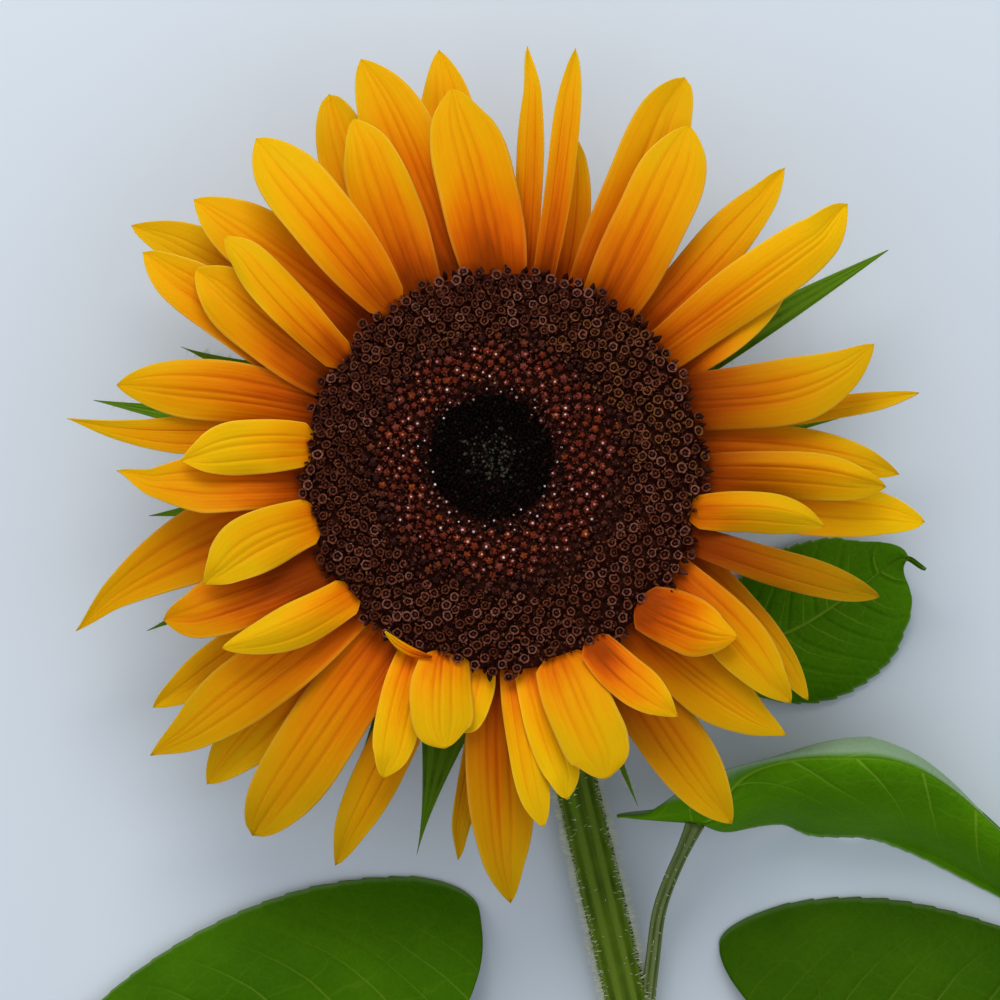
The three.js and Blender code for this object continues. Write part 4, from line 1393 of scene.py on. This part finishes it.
def leafMaterial():
    material, tree, sockets = newMaterial("leafGreen", 0.5, 0.02)
    edge, tone, skySheen = [readAttribute(tree, name) for name in ("leafEdge", "leafTone", "leafBloom")]
    vein = placeGroup(tree, makeVeinGroup(), Map=addNode(tree, "UVMap", uv_map="UVMap"))
    tissue = placeGroup(tree, tissueGroup, Patch=45.0, Cell=420.0)
    color = addRamp(tissue["Mottle"], [(0.25, (0.026, 0.085, 0.0005)), (0.75, (0.046, 0.128, 0.001))])
    net = addRamp(tissue["Cells"], [(0.0, (1.35, 1.25, 1.3)), (0.45, (1, 1, 1))])
    color = mixColor(0.3, color, net, "MULTIPLY")
    color = mixColor(vein["Veins"] * 0.5, color, (0.14, 0.22, 0.015))
    color = mixColor(edge * 0.4, color, (0.2, 0.3, 0.12))
    # Painted light and shade: each leaf is brightened or darkened as a whole
    color = dimColor(color, tone)
    # Painted sky sheen on the side that is seen at a slant
    plug(sockets["Base Color"], mixColor(skySheen, color, (0.26, 0.36, 0.24)))
    plug(sockets["Roughness"], tissue["Mottle"] * 0.3 + 0.36)
    addBump(sockets, tissue["Cells"], 0.35, 0.25)
    return material


def makeLeaves(hairLook):
    green = leafMaterial()
    stalkGreen = greenMaterial("stalkGreen")
    chance = np.random.default_rng(head["seed"] + 4)
    columns, rows = leafLook["columns"], leafLook["rows"]
    across, along = gridPlaces(columns, rows)
    for leaf in leaves:
        place = leaf["node"].removeprefix("leaf_")
        blade = gridPiece("leafBlade_" + place, columns, rows, leafShape(leaf))
        # Painted sky sheen: a pale band on the side that is seen at a slant
        lobe = 1 - smoothStep(0.05, 0.12, along ** leafLook["stretch"])
        slanted = smoothStep(0.02 + 0.5 * lobe, 0.4 + 0.4 * lobe, -across)
        edge = smoothStep(0.955, 1.0, np.abs(across))
        skySheen = leaf.get("skySheen", 0.0) * slanted
        addAttributes(blade, leafEdge=edge, leafTone=leaf["tone"], leafBloom=skySheen)
        thicken(blade, leafLook["thickness"], offset=-1)
        finishPiece(blade, green, "leaf", leaf["node"])
        tube = (smoothLine(leaf["petiole"]), petioleRadius)
        stalk = gridPiece("leafStalk_" + place, *leafLook["petioleGrid"], tubeShape(*tube))
        closeEnds(stalk)
        finishPiece(stalk, stalkGreen, "leaf")
        share = chance.uniform(0.12, 0.95, leafLook["petioleHairs"])
        angle = chance.uniform(-np.pi, np.pi, leafLook["petioleHairs"])
        makeTubeHairs("stalkHairs_" + place, tube, angle, share, 0.0, (1.0, 0.8),
                      leafLook["hairLength"], chance, hairLook, "leaf")
    print("leaves made:", len(leaves))


# Floor, lights and camera
studio = {
    "lens": 300.0,
    "sensor": 36.0,
    "frameWidth": 220.0,  # width of the picture at the height of the disc, in millimetres
    "aim": (-0.66, -6.16),  # where the picture's middle lies from the middle of the disc
    "floorColor": (0.62, 0.68, 0.75),
    "skyColor": (0.85, 0.92, 1.0),
    "skyPower": 0.52,
}

# Name, place from the head (m), size, power and colour of each lamp
lamps = [
    ("skyLamp", (-0.12, 0.7, 0.72), 0.6, 6.6, (1.0, 0.97, 0.92)),
    ("fillLamp", (0.55, -0.25, 0.9), 0.8, 1.6, (0.92, 0.96, 1.0)),
    ("sideLamp", (-0.7, -0.1, 0.6), 0.7, 1.0, (1.0, 0.98, 0.95)),
]


def makeStudio():
    scene = bpy.context.scene
    bpy.ops.mesh.primitive_plane_add(size=4, location=(0, 0, 0))
    floor = bpy.context.object
    floor.name = "floor"
    material, _, sockets = newMaterial("paleFloor", 0.8, 0.05)
    plug(sockets["Base Color"], studio["floorColor"])
    floor.data.materials.append(material)

    scene.world = bpy.data.worlds.new("softSky")
    scene.world.use_nodes = True
    background = scene.world.node_tree.nodes["Background"]
    plug(background.inputs["Color"], studio["skyColor"])
    plug(background.inputs["Strength"], studio["skyPower"])

    for name, place, size, power, color in lamps:
        bpy.ops.object.light_add(type="AREA", location=[headPlace[k] + place[k] for k in range(3)])
        lamp = bpy.context.object
        lamp.name = name
        lamp.data.size = size
        lamp.data.energy = power
        lamp.data.color = color
        toward = np.array([0, 0, 0.03]) - np.array(place)
        pitch = math.atan2(math.hypot(toward[0], toward[1]), -toward[2])
        lamp.rotation_euler = (pitch, 0, math.atan2(toward[1], toward[0]) - math.pi / 2)

    distance = studio["frameWidth"] * studio["lens"] / studio["sensor"] * millimetre
    aimX, aimY = [headPlace[k] + studio["aim"][k] * millimetre for k in range(2)]
    bpy.ops.object.camera_add(location=(aimX, aimY, head["top"] * millimetre + distance))
    camera = bpy.context.object
    camera.name = "photoCamera"
    camera.data.lens = studio["lens"]
    camera.data.clip_end = 10
    scene.camera = camera
    scene.view_settings.view_transform = "Standard"
    print("studio made, camera at", [round(c, 4) for c in camera.location])


paleHair = hairMaterial()
makePetals()
makeDisc()
makeStem(paleHair)
makeHeadBack()
makeBracts(paleHair)
makeLeaves(paleHair)
makeStudio()
deselectAll()
